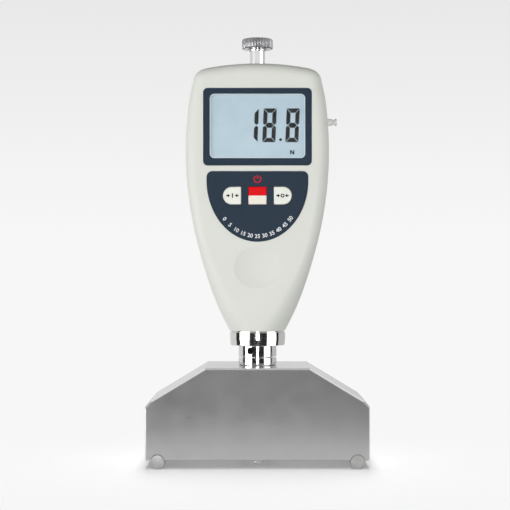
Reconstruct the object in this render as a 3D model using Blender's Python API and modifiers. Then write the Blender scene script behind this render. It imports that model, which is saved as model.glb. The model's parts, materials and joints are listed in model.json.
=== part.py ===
# Screen mesh tension meter: a hand-held digital gauge on a metal base that stands on two
# rods, with a sprung feeler between them. Metres, +Z up, the display faces -Y.

import math

import bmesh
import bpy
from mathutils import Matrix, Vector

# Fits between pieces
SEAT_GAP = 0.0003  # between a piece and what carries it
EDGE_GAP = 0.00035  # round films, keys and the battery door
SLIDE_GAP = 0.0003  # radial, round what slides or turns
SEAM_GAP = 0.0003  # between the two shells
OVERRUN = 0.002  # how far a cutter runs past the face it cuts
SINK = 0.0004  # how far a boss is sunk into the wall that carries it
WELD = 0.00001  # merge distance

# Facets of a full turn
FINE_SIDES = 48
ROUND_SIDES = 32
SMALL_SIDES = 16
SCOOP_STEPS = 7
SMOOTH_ANGLE = math.radians(35)
FLAT_ANGLE = math.radians(0.1)

# Base block and its two support rods
BASE_WIDTH = 0.0986
BASE_DEPTH = 0.042
BASE_HEIGHT = 0.0405
BASE_LIFT = 0.0038
BASE_TOP_WIDTH = 0.0462
BASE_SLANT_HEIGHT = 0.0149
BASE_CORNER_WIDTH = 0.0015
BASE_CORNER_HEIGHT = 0.0024
BASE_BEVEL = 0.0012
BASE_LOW_BEVEL_SHARE = 0.3
ROD_DIAMETER = 0.00635
ROD_INSET = 0.0053
ROD_BEVEL = 0.0003
ROD_RIM_WIDTH = 0.0006
ROD_RIM_DEPTH = 0.0004

# Feeler, its holder and the plunger that carries them
FEELER_DIAMETER = 0.005
FEELER_LENGTH = 0.016
FEELER_LIFT = 0.0001
FEELER_DROP = 0.0015
FEELER_RISE = 0.002
HOLDER_WIDTH = 0.009
HOLDER_LENGTH = 0.018
HOLDER_HEIGHT = 0.0076
HOLDER_GRIP = 0.0006
HOLDER_BEVEL = 0.0008
POCKET_CLEARANCE = 0.002
PLUNGER_DIAMETER = 0.004
PLUNGER_LENGTH = 0.0735
PLUNGER_SOCKET_DEPTH = 0.0045
PLUNGER_COLLAR_DIAMETER = 0.008
PLUNGER_COLLAR_HEIGHT = 0.0015

# Stem, from the base upwards
STEM_DIAMETER = 0.0173
ADAPTER_HEIGHT = 0.0033
SPIGOT_DIAMETER = 0.0154
SPIGOT_LENGTH = 0.0105
SLEEVE_HEIGHT = 0.0049
STEM_BEVEL = 0.00025
COLLAR_DIAMETER = 0.0252
COLLAR_HEIGHT = 0.0063
COLLAR_TAPER = 0.0004
COLLAR_TAPER_HEIGHT = 0.0027
COLLAR_NECK_DIAMETER = 0.018
COLLAR_FLANGE_DIAMETER = 0.021
COLLAR_FLANGE_HEIGHT = 0.0015
TUBE_DIAMETER = 0.012
TUBE_BORE = 0.009
TUBE_LENGTH = 0.047
TUBE_DEPTH = 0.0133
BUSH_LENGTH = 0.01
BUSH_FLANGE_HEIGHT = 0.0013
UPPER_GUIDE_HEIGHT = 0.003
UPPER_GUIDE_RISE = 0.0135
CLAMP_SCREW_DIAMETER = 0.0025
CLAMP_SCREW_LENGTH = 0.002
CLAMP_SCREW_RISE = 0.0028
CLAMP_SCREW_SINK = 0.00025
CLAMP_SCREW_SOCKET = 0.0014
CLAMP_SCREW_SOCKET_DEPTH = 0.001
CLAMP_SCREW_TURN = math.radians(22)
SET_SCREW_DIAMETER = 0.0036
SET_SCREW_SINK = 0.005
SET_SCREW_SOCKET = 0.0022
SET_SCREW_SOCKET_DEPTH = 0.002

# Return spring: an open coil between the plunger's collar and the upper guide
SPRING_WIRE = 0.0007
SPRING_MEAN_DIAMETER = 0.0065
SPRING_TURNS = 8
SPRING_POINTS_A_TURN = 9

# Displacement sensor above the tube
BOBBIN_DIAMETER = 0.014
BOBBIN_HEIGHT = 0.0175
BOBBIN_FLANGE = 0.0012
BOBBIN_CORE_DIAMETER = 0.008
BOBBIN_BORE = 0.005
WINDING_DIAMETER = 0.0132
CORE_LENGTH = 0.0117

# Housing: half widths follow the height, from the collar up to the shoulder
HOUSING_WIDTH = 0.065
HOUSING_DEPTH = 0.028
HOUSING_HEIGHT = 0.1212
HOUSING_WALL = 0.0022
HOUSING_FLOOR = 0.0036
SIDE_HEIGHT_SHARES = (0.0, 0.09, 0.185, 0.28, 0.37, 0.46, 0.55, 0.645, 0.75, 0.86, 0.94)
SIDE_WIDTH_SHARES = (0.545, 0.68, 0.786, 0.872, 0.934, 0.978, 1.0, 0.994, 0.952, 0.897)
SIDE_STEPS = 7
CROWN_WIDTH = 0.045
CROWN_RISE = 0.0014
CROWN_STEPS = 3
CORNER_LEAN = 0.0014
CORNER_STEPS = 4
EDGE_RADIUS = 0.005
EDGE_STEPS = 5
INNER_EDGE_STEPS = 3
NECK_HEIGHT = 0.016
FLARE_HEIGHT = 0.04
FLARE_STEPS = 7
FLARE_POWER = 1.5
ROUND_SHARE = 0.97

# Display, from its front film to the board
FILM_THICKNESS = 0.0005
FILM_SET_BACK = 0.00005
DISPLAY_WIDTH = 0.0482
DISPLAY_HEIGHT = 0.0344
DISPLAY_DROP = 0.01305
DISPLAY_CORNER = 0.002
FRAME_BORDER = 0.0029
WINDOW_RAISE = 0.00035
WINDOW_CORNER = 0.002
WINDOW_LEDGE = 0.0005
LCD_SIDE_MARGIN = 0.0006
LCD_END_MARGIN = 0.0007
LCD_THICKNESS = 0.0022
LCD_HOLDER_WALL = 0.001
ZEBRA_END_ROOM = 0.0018
ZEBRA_WIDTH = 0.002
ZEBRA_THICKNESS = 0.0021
BOARD_INSET = 0.0001
BOARD_HEIGHT = 0.0635
BOARD_THICKNESS = 0.0016
CHIP_WIDTH = 0.009
CHIP_THICKNESS = 0.0014

# Keypad film, keys and their switches
KEYPAD_WIDTH = 0.0453
KEYPAD_GAP = 0.0023
KEYPAD_SHOULDER = 0.0042
KEYPAD_CURVE = 0.027
KEYPAD_CORNER = 0.0025
KEY_DROP = 0.0111
KEY_WIDTH = 0.0079
KEY_HEIGHT = 0.0078
KEY_SPACING = 0.01125
KEY_CORNER = 0.0004
KEY_PROUD = 0.00025
KEY_FLANGE_WIDTH = 0.0008
KEY_FLANGE_THICKNESS = 0.0008
KEY_TRAVEL = 0.0006
SWITCH_WIDTH = 0.006
SWITCH_STEM_DIAMETER = 0.0032
SWITCH_WELL = 0.0022

# Thumb dish in the front
DISH_WIDTH = 0.0215
DISH_HEIGHT = 0.0192
DISH_DEPTH = 0.0009
DISH_GAP = 0.0118

# Screws that hold the housing and the board, and the bosses they go into
CASE_SCREW_HIGH_DROP = 0.0097
CASE_SCREW_HIGH_SPACING = 0.045
CASE_SCREW_LOW_RISE = 0.024
CASE_SCREW_LOW_SPACING = 0.027
CASE_SCREW_DIAMETER = 0.0024
CASE_SCREW_LENGTH = 0.018
CASE_SCREW_HEAD_DIAMETER = 0.005
CASE_SCREW_HEAD_HEIGHT = 0.0018
CASE_SCREW_SEAT_DEPTH = 0.004
BOSS_WALL = 0.0012
BOARD_SCREW_DROP = 0.0026
BOARD_SCREW_INSET = 0.004
BOARD_SCREW_DIAMETER = 0.002
BOARD_SCREW_LENGTH = 0.0055
BOARD_SCREW_HEAD_DIAMETER = 0.0038
BOARD_SCREW_HEAD_HEIGHT = 0.0012
HEAD_FLAT_SHARE = 0.67
HEAD_RIM_SHARE = 0.33
TIP_SHARE = 0.33
CROSS_WIDTH_SHARE = 0.18
CROSS_LENGTH_SHARE = 0.62
CROSS_DEPTH_SHARE = 0.5

# Strap stud on the right side
STUD_DROP = 0.0269
STUD_DIAMETER = 0.0031
STUD_LENGTH = 0.008
STUD_REACH = 0.036
STUD_NECK_DIAMETER = 0.0022
STUD_NECK_LENGTH = 0.0009
STUD_TIP_LENGTH = 0.0011
STUD_FLANGE_DIAMETER = 0.0058
STUD_FLANGE_LENGTH = 0.0014

# Thumb screw, washer and bush at the top
SHANK_DIAMETER = 0.0068
SHANK_SHOWING = 0.0062
SHANK_LENGTH = 0.0161
HEAD_DIAMETER = 0.014
HEAD_HEIGHT = 0.0045
HEAD_RIDGES = 30
HEAD_RIDGE_DEPTH = 0.0004
HEAD_BEVEL = 0.0005
WASHER_DIAMETER = 0.0085
WASHER_THICKNESS = 0.0006
TOP_BUSH_DIAMETER = 0.0104
TOP_BUSH_HEIGHT = 0.0056
TOP_BOSS_WIDTH = 0.015
TOP_BOSS_HEIGHT = 0.0102
TOP_BUSH_COVER = 0.0028

# Cells, their box, contacts and door
CELL_DIAMETER = 0.0105
CELL_LENGTH = 0.0445
CELL_NUB_DIAMETER = 0.0055
CELL_NUB_LENGTH = 0.001
CELL_PITCH = 0.0109
CELL_COUNT = 4
BOX_WALL = 0.0012
BOX_DROP = 0.0163
BOX_END_ROOM = 0.00225
BOX_FLANGE_WIDTH = 0.0024
BOX_FLANGE_THICKNESS = 0.0012
BOX_TOP_CUT = 0.0035
CONTACT_THICKNESS = 0.0004
CONTACT_WIDTH = 0.0084
CONTACT_HEIGHT = 0.0076
CONTACT_BUMP_DIAMETER = 0.0044
CONTACT_BUMP_TIP = 0.002
DOOR_PIVOT_DROP = 0.0008
DOOR_PIVOT_SINK = 0.0006
HOOK_WIDTH = 0.004
HOOK_REACH = 0.0015
HOOK_THICKNESS = 0.0014
HOOK_ROOT = 0.0026
FINGER_NOTCH_WIDTH = 0.014
FINGER_NOTCH_HEIGHT = 0.007
FINGER_NOTCH_DEPTH = 0.0009
FINGER_NOTCH_RISE = 0.007

# Levels that follow from the sizes above
BASE_TOP = BASE_LIFT + BASE_HEIGHT
ROD_SPACING = BASE_WIDTH - 2 * ROD_INSET
ADAPTER_BOTTOM = BASE_TOP + SEAT_GAP
ADAPTER_TOP = ADAPTER_BOTTOM + ADAPTER_HEIGHT
SLEEVE_BOTTOM = ADAPTER_TOP + SEAT_GAP
SLEEVE_TOP = SLEEVE_BOTTOM + SLEEVE_HEIGHT
COLLAR_BOTTOM = SLEEVE_TOP + SEAT_GAP
COLLAR_TOP = COLLAR_BOTTOM + COLLAR_HEIGHT
HOUSING_BOTTOM = COLLAR_TOP + SEAT_GAP
HOUSING_TOP = HOUSING_BOTTOM + HOUSING_HEIGHT
HOUSING_FRONT = -HOUSING_DEPTH / 2
HOUSING_BACK = HOUSING_DEPTH / 2
FRONT_WALL_INSIDE = HOUSING_FRONT + HOUSING_WALL
BACK_WALL_INSIDE = HOUSING_BACK - HOUSING_WALL
TUBE_BOTTOM = BASE_TOP - TUBE_DEPTH
TUBE_TOP = TUBE_BOTTOM + TUBE_LENGTH
TUBE_HOLE = TUBE_DIAMETER / 2 + SEAT_GAP
BUSH_TOP = TUBE_BOTTOM + BUSH_LENGTH
BUSH_SEAT = TUBE_BOTTOM - SEAT_GAP - BUSH_FLANGE_HEIGHT - SEAT_GAP
INNER_FIT = TUBE_BORE / 2 - SEAT_GAP
PLUNGER_HOLE = PLUNGER_DIAMETER / 2 + SLIDE_GAP
FEELER_AXIS = FEELER_LIFT + FEELER_DIAMETER / 2
HOLDER_BOTTOM = FEELER_AXIS + HOLDER_GRIP
HOLDER_TOP = HOLDER_BOTTOM + HOLDER_HEIGHT
POCKET_TOP = HOLDER_TOP + FEELER_RISE + POCKET_CLEARANCE
PLUNGER_BOTTOM = HOLDER_TOP - PLUNGER_SOCKET_DEPTH + SEAT_GAP
PLUNGER_TOP = PLUNGER_BOTTOM + PLUNGER_LENGTH
PLUNGER_COLLAR_BOTTOM = BUSH_TOP + FEELER_DROP + SEAT_GAP
PLUNGER_COLLAR_TOP = PLUNGER_COLLAR_BOTTOM + PLUNGER_COLLAR_HEIGHT
UPPER_GUIDE_BOTTOM = PLUNGER_COLLAR_TOP + UPPER_GUIDE_RISE
BOBBIN_BOTTOM = TUBE_TOP + SEAT_GAP
BOBBIN_TOP = BOBBIN_BOTTOM + BOBBIN_HEIGHT
SPIGOT_BOTTOM = ADAPTER_BOTTOM - SPIGOT_LENGTH

RECESS_DEPTH = FILM_SET_BACK + FILM_THICKNESS + SEAT_GAP
FILM_FRONT = HOUSING_FRONT + FILM_SET_BACK
FILM_BACK = FILM_FRONT + FILM_THICKNESS
DISPLAY_MIDDLE = HOUSING_TOP - DISPLAY_DROP - DISPLAY_HEIGHT / 2
WINDOW_WIDTH = DISPLAY_WIDTH - 2 * FRAME_BORDER
WINDOW_HEIGHT = DISPLAY_HEIGHT - 2 * FRAME_BORDER
LCD_WIDTH = WINDOW_WIDTH + 2 * LCD_SIDE_MARGIN
LCD_HEIGHT = WINDOW_HEIGHT + 2 * LCD_END_MARGIN
ZEBRA_LENGTH = LCD_WIDTH - 2 * ZEBRA_END_ROOM
BOARD_WIDTH = LCD_WIDTH + 2 * (SEAT_GAP + LCD_HOLDER_WALL - BOARD_INSET)
BOARD_SCREW_SPACING = BOARD_WIDTH - 2 * BOARD_SCREW_INSET
WINDOW_MIDDLE = DISPLAY_MIDDLE + WINDOW_RAISE
LCD_FRONT = FRONT_WALL_INSIDE + SEAT_GAP
LCD_BACK = LCD_FRONT + LCD_THICKNESS
ZEBRA_FRONT = LCD_BACK + SEAT_GAP
ZEBRA_BACK = ZEBRA_FRONT + ZEBRA_THICKNESS
BOARD_FRONT = ZEBRA_BACK + SEAT_GAP
BOARD_BACK = BOARD_FRONT + BOARD_THICKNESS
HOLDER_FRAME_TOP = WINDOW_MIDDLE + LCD_HEIGHT / 2 + SEAT_GAP + LCD_HOLDER_WALL
BOARD_BOTTOM = HOLDER_FRAME_TOP - BOARD_HEIGHT
KEYPAD_TOP = DISPLAY_MIDDLE - DISPLAY_HEIGHT / 2 - KEYPAD_GAP
KEY_ROW = KEYPAD_TOP - KEY_DROP
KEYPAD_BOTTOM = KEYPAD_TOP - KEYPAD_SHOULDER - KEYPAD_CURVE
DISH_MIDDLE = KEYPAD_BOTTOM - DISH_GAP
KEY_FLANGE_FRONT = FRONT_WALL_INSIDE + SEAT_GAP
KEY_FLANGE_BACK = KEY_FLANGE_FRONT + KEY_FLANGE_THICKNESS
STEM_FRONT = KEY_FLANGE_BACK + SEAT_GAP
CASE_FRONT = KEY_FLANGE_BACK + KEY_TRAVEL + SEAT_GAP
CASE_BACK = BOARD_FRONT - SEAT_GAP
STUD_LEVEL = HOUSING_TOP - STUD_DROP
BOX_INNER_WIDTH = (CELL_COUNT - 1) * CELL_PITCH + CELL_DIAMETER + 2 * SEAT_GAP
BOX_INNER_HEIGHT = CELL_LENGTH + 2 * BOX_END_ROOM
BOX_TOP = HOUSING_TOP - BOX_DROP
BOX_BOTTOM = BOX_TOP - BOX_INNER_HEIGHT - 2 * BOX_WALL
CELL_BOTTOM = BOX_BOTTOM + BOX_WALL + BOX_END_ROOM
BOX_BACK = BACK_WALL_INSIDE - SEAT_GAP
CELL_AXIS = BOX_BACK - BOX_TOP_CUT + SEAT_GAP - CELL_DIAMETER / 2 + BOX_FLANGE_THICKNESS
BOX_FLOOR = CELL_AXIS - CELL_DIAMETER / 2 - SEAT_GAP
DOOR_OPENING_HALF = BOX_INNER_WIDTH / 2 + BOX_WALL + SEAT_GAP
DOOR_OPENING_TOP = BOX_TOP + 2 * SEAT_GAP
DOOR_OPENING_BOTTOM = BOX_BOTTOM - 2 * SEAT_GAP
DOOR_TOP = DOOR_OPENING_TOP - EDGE_GAP
DOOR_BOTTOM = DOOR_OPENING_BOTTOM + EDGE_GAP
DOOR_PIVOT = (0, HOUSING_BACK - DOOR_PIVOT_SINK, DOOR_TOP - DOOR_PIVOT_DROP)
SHANK_TOP = HOUSING_TOP + SHANK_SHOWING
SHANK_BOTTOM = SHANK_TOP - SHANK_LENGTH
HEAD_TOP = SHANK_TOP + HEAD_HEIGHT
TOP_BUSH_TOP = HOUSING_TOP - TOP_BUSH_COVER

# Colour, roughness and metallic value of each finish
FINISHES = {
    "housing_plastic": ((0.73, 0.74, 0.70), 0.48, 0.0),
    "film_navy": ((0.030, 0.047, 0.074), 0.4, 0.0),
    "window_clear": ((0.80, 0.86, 0.88), 0.05, 0.0),
    "lcd_glass": ((0.49, 0.61, 0.70), 0.2, 0.0),
    "holder_white": ((0.80, 0.80, 0.78), 0.6, 0.0),
    "contact_rubber": ((0.20, 0.12, 0.14), 0.8, 0.0),
    "board_green": ((0.02, 0.16, 0.07), 0.5, 0.0),
    "chip_black": ((0.02, 0.02, 0.02), 0.5, 0.0),
    "key_ivory": ((0.84, 0.82, 0.74), 0.4, 0.0),
    "key_red": ((0.80, 0.02, 0.02), 0.4, 0.0),
    "switch_black": ((0.03, 0.03, 0.03), 0.5, 0.0),
    "bright_chrome": ((0.80, 0.80, 0.80), 0.08, 1.0),
    "tube_steel": ((0.60, 0.60, 0.60), 0.25, 1.0),
    "screw_steel": ((0.35, 0.35, 0.35), 0.35, 1.0),
    "bush_brass": ((0.72, 0.52, 0.20), 0.35, 1.0),
    "winding_copper": ((0.62, 0.26, 0.10), 0.4, 1.0),
    "core_ferrite": ((0.06, 0.06, 0.06), 0.6, 0.0),
    "base_aluminium": ((0.55, 0.55, 0.56), 0.45, 1.0),
    "cell_jacket": ((0.10, 0.16, 0.24), 0.4, 0.0),
    "contact_nickel": ((0.66, 0.64, 0.60), 0.3, 1.0),
    "stud_grey": ((0.60, 0.60, 0.58), 0.4, 0.0),
}


def clear_scene():
    for old in list(bpy.data.objects):
        bpy.data.objects.remove(old, do_unlink=True)


def collection_named(name):
    made = bpy.data.collections.new(name)
    bpy.context.scene.collection.children.link(made)
    return made


def finish_for(node, finish):
    colour, roughness, metallic = FINISHES[finish]
    made = bpy.data.materials.new(f"{node}_{finish}")
    made.use_nodes = True
    shader = made.node_tree.nodes["Principled BSDF"]
    shader.inputs["Base Color"].default_value = (*colour, 1)
    shader.inputs["Roughness"].default_value = roughness
    shader.inputs["Metallic"].default_value = metallic
    made.diffuse_color = (*colour, 1)
    return made


def placed(name, mesh, finish):
    # A finish makes a piece; without one the object is a cutter or a shape to be joined.
    made = bpy.data.objects.new(name, mesh)
    if finish:
        PIECES.objects.link(made)
        mesh.materials.append(finish_for(name, finish))
    else:
        CUTTERS.objects.link(made)
        made.hide_render = True
        made.display_type = "WIRE"
    return made


def mesh_from(name, shape, finish):
    # Pieces are smooth with sharp edges; the walls that a cutter leaves stay flat.
    made = bpy.data.meshes.new(name)
    shape.to_mesh(made)
    shape.free()
    if finish:
        made.shade_smooth()
        made.set_sharp_from_angle(angle=SMOOTH_ANGLE)
    return made


def realised(maker):
    # The shape that a curve or a profile with its modifier makes, as a closed bmesh.
    PIECES.objects.link(maker)
    graph = bpy.context.evaluated_depsgraph_get()
    mesh = bpy.data.meshes.new_from_object(maker.evaluated_get(graph))
    bpy.data.objects.remove(maker, do_unlink=True)
    shape = bmesh.new()
    shape.from_mesh(mesh)
    bmesh.ops.remove_doubles(shape, verts=shape.verts, dist=WELD)
    bpy.data.meshes.remove(mesh)
    return shape


def box(name, low, high, finish=None):
    shape = bmesh.new()
    bmesh.ops.create_cube(shape, size=1)
    low, high = Vector(low), Vector(high)
    bmesh.ops.scale(shape, vec=high - low, verts=shape.verts)
    bmesh.ops.translate(shape, vec=(low + high) / 2, verts=shape.verts)
    return placed(name, mesh_from(name, shape, finish), finish)


def axis_turn(axis):
    # Turns local +Z to the named axis.
    turns = {"X": (math.pi / 2, 4, "Y"), "Y": (-math.pi / 2, 4, "X"), "-Y": (math.pi / 2, 4, "X")}
    return Matrix.Rotation(*turns.get(axis, (0, 4, "Z")))


def bar(name, radius, low, high, axis="Z", sides=SMALL_SIDES, centre=(0, 0, 0), tip=None, finish=None):
    # A straight bar, or a cone where the tip has its own radius.
    shape = bmesh.new()
    bmesh.ops.create_cone(
        shape,
        cap_ends=True,
        segments=sides,
        radius1=radius,
        radius2=radius if tip is None else tip,
        depth=high - low,
    )
    bmesh.ops.translate(shape, vec=(0, 0, (low + high) / 2), verts=shape.verts)
    made = placed(name, mesh_from(name, shape, finish), finish)
    made.matrix_world = Matrix.Translation(centre) @ axis_turn(axis)
    return made


def turned(name, profile, finish=None, axis="Z", centre=(0, 0, 0), sides=ROUND_SIDES):
    # The profile holds (radius, height) pairs down the outer side. One that starts off the
    # axis is closed into a ring; one that starts on the axis ends there too.
    shape = bmesh.new()
    points = [shape.verts.new((radius, 0, height)) for radius, height in profile]
    pairs = list(zip(points, points[1:]))
    if profile[0][0] > 0:
        pairs.append((points[-1], points[0]))
    for pair in pairs:
        shape.edges.new(pair)
    maker = bpy.data.objects.new(name, mesh_from(name, shape, None))
    screw = maker.modifiers.new("turn", "SCREW")
    screw.axis = "Z"
    screw.steps = sides
    screw.render_steps = sides
    screw.use_merge_vertices = True
    screw.merge_threshold = WELD
    made = placed(name, mesh_from(name, realised(maker), finish), finish)
    made.matrix_world = Matrix.Translation(centre) @ axis_turn(axis)
    return made


def ring(name, outer, inner, low, high, finish=None, sides=ROUND_SIDES):
    profile = [(outer, high), (outer, low), (inner, low), (inner, high)]
    return turned(name, profile, finish, sides=sides)


def plate(name, outlines, low, high, finish=None, axis="Y"):
    # Closed outlines, the holes after the outer one, extruded from low to high. An outline
    # holds (y, z) pairs on axis X, (x, z) pairs on axis Y and (x, y) pairs on axis Z.
    flat = bpy.data.curves.new(name, "CURVE")
    flat.dimensions = "2D"
    flat.fill_mode = "BOTH"
    flat.extrude = (high - low) / 2
    for outline in outlines:
        spline = flat.splines.new("POLY")
        spline.points.add(len(outline) - 1)
        for point, (across, along) in zip(spline.points, outline):
            point.co = (across, along, 0, 1)
        spline.use_cyclic_u = True
    shape = realised(bpy.data.objects.new(name, flat))
    bmesh.ops.dissolve_limit(shape, angle_limit=FLAT_ANGLE, verts=shape.verts, edges=shape.edges)
    made = placed(name, mesh_from(name, shape, finish), finish)
    middle = (low + high) / 2
    if axis == "X":
        turn = Matrix(((0, 0, 1), (1, 0, 0), (0, 1, 0))).to_4x4()
        made.matrix_world = Matrix.Translation((middle, 0, 0)) @ turn
    elif axis == "Y":
        made.matrix_world = Matrix.Translation((0, middle, 0)) @ Matrix.Rotation(math.pi / 2, 4, "X")
    else:
        made.matrix_world = Matrix.Translation((0, 0, middle))
    return made


def boolean(piece, other, operation):
    change = piece.modifiers.new(f"{operation.lower()}_{other.name}", "BOOLEAN")
    change.operation = operation
    change.solver = "EXACT"
    change.object = other
    return piece


def cut(piece, *cutters):
    for cutter in cutters:
        boolean(piece, cutter, "DIFFERENCE")
    return piece


def join(piece, *others):
    for other in others:
        boolean(piece, other, "UNION")
    return piece


def chamfer(piece, width):
    # Flat shading keeps each new face crisp.
    piece.data.shade_flat()
    bevel = piece.modifiers.new("edges", "BEVEL")
    bevel.width = width
    bevel.segments = 1
    bevel.loop_slide = False
    return bevel


def carried_by(name, point, pieces):
    # An empty on the joint's axis that the moving pieces hang from.
    carrier = bpy.data.objects.new(f"{name}_axis", None)
    PIECES.objects.link(carrier)
    carrier.empty_display_size = EDGE_RADIUS
    carrier.location = point
    for piece in pieces:
        piece.parent = carrier
        piece.matrix_parent_inverse = Matrix.Translation(point).inverted()


def arc(centre, radius, start, end, steps):
    # Points of an arc, both ends included; the angles are in degrees.
    angles = [math.radians(start + (end - start) * step / steps) for step in range(steps + 1)]
    return [(centre[0] + radius * math.cos(a), centre[1] + radius * math.sin(a)) for a in angles]


def rounded_outline(width, height, corner, middle, steps=4):
    # A rectangle with round corners about (0, middle).
    across, up = width / 2 - corner, height / 2 - corner
    points = []
    for start, (x, z) in zip((0, 90, 180, 270), ((across, up), (-across, up), (-across, -up), (across, -up))):
        points += arc((x, middle + z), corner, start, start + 90, steps)
    return points


def shifted(outline, across):
    return [(x + across, z) for x, z in outline]


def scoop(name, width, height, depth, axis, face, level):
    # Cutter of a shallow hollow: a dome that reaches in from a flat face along the axis.
    radius = (width**2 / 4 + depth**2) / (2 * depth)
    middle = depth - radius
    end = math.degrees(math.asin((-OVERRUN - middle) / radius))
    dome = arc((0, middle), radius, 90, end, SCOOP_STEPS)[1:]
    made = turned(name, [(0, depth), *dome, (0, -OVERRUN)], None, axis, (0, face, level))
    made.matrix_world @= Matrix.Diagonal((1, height / width, 1, 1))
    return made


def cross_recess(name, head_radius, head_height, outer, x, z):
    # Two crossed slots in the head of a screw that is driven from the back.
    length, width = head_radius * CROSS_LENGTH_SHARE, head_radius * CROSS_WIDTH_SHARE
    floor, mouth = outer - head_height * CROSS_DEPTH_SHARE, outer + OVERRUN
    return [
        box(f"{name}_slot_a", (x - length, floor, z - width), (x + length, mouth, z + width)),
        box(f"{name}_slot_b", (x - width, floor, z - length), (x + width, mouth, z + length)),
    ]


def back_screw(name, x, z, under_head, diameter, length, head_diameter, head_height):
    # A pan-head screw along Y, its head towards the back.
    crown, head, shank = under_head + head_height, head_diameter / 2, diameter / 2
    rim, tip = crown - head_height * HEAD_RIM_SHARE, under_head - length
    profile = [
        (0, crown),
        (head * HEAD_FLAT_SHARE, crown),
        (head, rim),
        (head, under_head),
        (shank, under_head),
        (shank, tip + shank),
        (shank * TIP_SHARE, tip),
        (0, tip),
    ]
    made = turned(name, profile, "screw_steel", "Y", (x, 0, z), SMALL_SIDES)
    return cut(made, *cross_recess(name, head, head_height, crown, x, z))


# Base block, support rods and set screw


def base_outline():
    half, top = BASE_WIDTH / 2, BASE_TOP_WIDTH / 2
    slant_foot = BASE_TOP - BASE_SLANT_HEIGHT
    right = [
        (half, BASE_LIFT),
        (half, slant_foot - BASE_CORNER_HEIGHT),
        (half - BASE_CORNER_WIDTH, slant_foot),
        (top, BASE_TOP),
    ]
    return right + [(-x, z) for x, z in reversed(right)]


def weight_end_edges(piece):
    # A broad bevel runs along the top, the slants and the corners, a slight one elsewhere.
    mesh = piece.data
    weights = mesh.attributes.new("bevel_weight_edge", "FLOAT", "EDGE")
    level = BASE_TOP - BASE_SLANT_HEIGHT - BASE_CORNER_HEIGHT / 2
    for edge in mesh.edges:
        ends = [piece.matrix_world @ mesh.vertices[index].co for index in edge.vertices]
        if abs(ends[0].y - ends[1].y) > WELD:
            continue
        high = max(ends[0].z, ends[1].z) > level
        weights.data[edge.index].value = 1 if high else BASE_LOW_BEVEL_SHARE


def make_base():
    base = plate("base_block", [base_outline()], -BASE_DEPTH / 2, BASE_DEPTH / 2, "base_aluminium")
    weight_end_edges(base)
    chamfer(base, BASE_BEVEL).limit_method = "WEIGHT"
    mirror = base.modifiers.new("like_quarters", "MIRROR")
    mirror.use_axis = mirror.use_bisect_axis = (True, False, True)
    mirror.merge_threshold = WELD
    front = -BASE_DEPTH / 2
    ends = {"front": (front - OVERRUN, front + ROD_RIM_DEPTH), "back": (-front - ROD_RIM_DEPTH, -front + OVERRUN)}
    for side, x in (("left", -ROD_SPACING / 2), ("right", ROD_SPACING / 2)):
        centre = (x, 0, ROD_DIAMETER / 2)
        groove = ROD_DIAMETER / 2 + SEAT_GAP
        reach = BASE_DEPTH / 2 + OVERRUN
        cut(base, bar(f"groove_{side}", groove, -reach, reach, "Y", ROUND_SIDES, centre))
        for end, (low, high) in ends.items():
            rim = bar(f"rim_{side}_{end}", groove + ROD_RIM_WIDTH, low, high, "Y", ROUND_SIDES, centre)
            cut(base, rim)
        tip = ROD_DIAMETER / 2 - ROD_BEVEL
        far = BASE_DEPTH / 2
        rod = [
            (0, far),
            (tip, far),
            (ROD_DIAMETER / 2, far - ROD_BEVEL),
            (ROD_DIAMETER / 2, ROD_BEVEL - far),
            (tip, -far),
            (0, -far),
        ]
        turned(f"support_rod_{side}", rod, "tube_steel", "Y", centre)
    across = HOLDER_WIDTH / 2 + POCKET_CLEARANCE
    along = HOLDER_LENGTH / 2 + POCKET_CLEARANCE
    cut(
        base,
        bar("spigot_hole", SPIGOT_DIAMETER / 2 + SEAT_GAP, SPIGOT_BOTTOM - SEAT_GAP, BASE_TOP + OVERRUN, sides=ROUND_SIDES),
        bar("tube_hole", TUBE_HOLE, BUSH_SEAT, BASE_TOP + OVERRUN, sides=ROUND_SIDES),
        bar("plunger_way", PLUNGER_HOLE + SLIDE_GAP, POCKET_TOP - OVERRUN, BASE_TOP, sides=SMALL_SIDES),
        box("feeler_pocket", (-across, -along, BASE_LIFT - OVERRUN), (across, along, POCKET_TOP)),
    )
    make_set_screw(base)


def make_set_screw(base):
    # Holds the adapter in the base, from the back.
    level = SPIGOT_BOTTOM + SPIGOT_LENGTH / 2
    inner = SPIGOT_DIAMETER / 2 + SEAT_GAP
    outer = BASE_DEPTH / 2 - SET_SCREW_SINK
    radius = SET_SCREW_DIAMETER / 2
    centre = (0, 0, level)
    cut(base, bar("set_screw_hole", radius + SEAT_GAP, SPIGOT_DIAMETER / 2, BASE_DEPTH / 2 + OVERRUN, "Y", SMALL_SIDES, centre))
    screw = bar("base_set_screw", radius, inner, outer, "Y", SMALL_SIDES, centre, finish="screw_steel")
    floor = outer - SET_SCREW_SOCKET_DEPTH
    cut(screw, bar("set_screw_socket", SET_SCREW_SOCKET / 2, floor, outer + OVERRUN, "Y", 6, centre))


# Stem between the base and the housing


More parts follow.
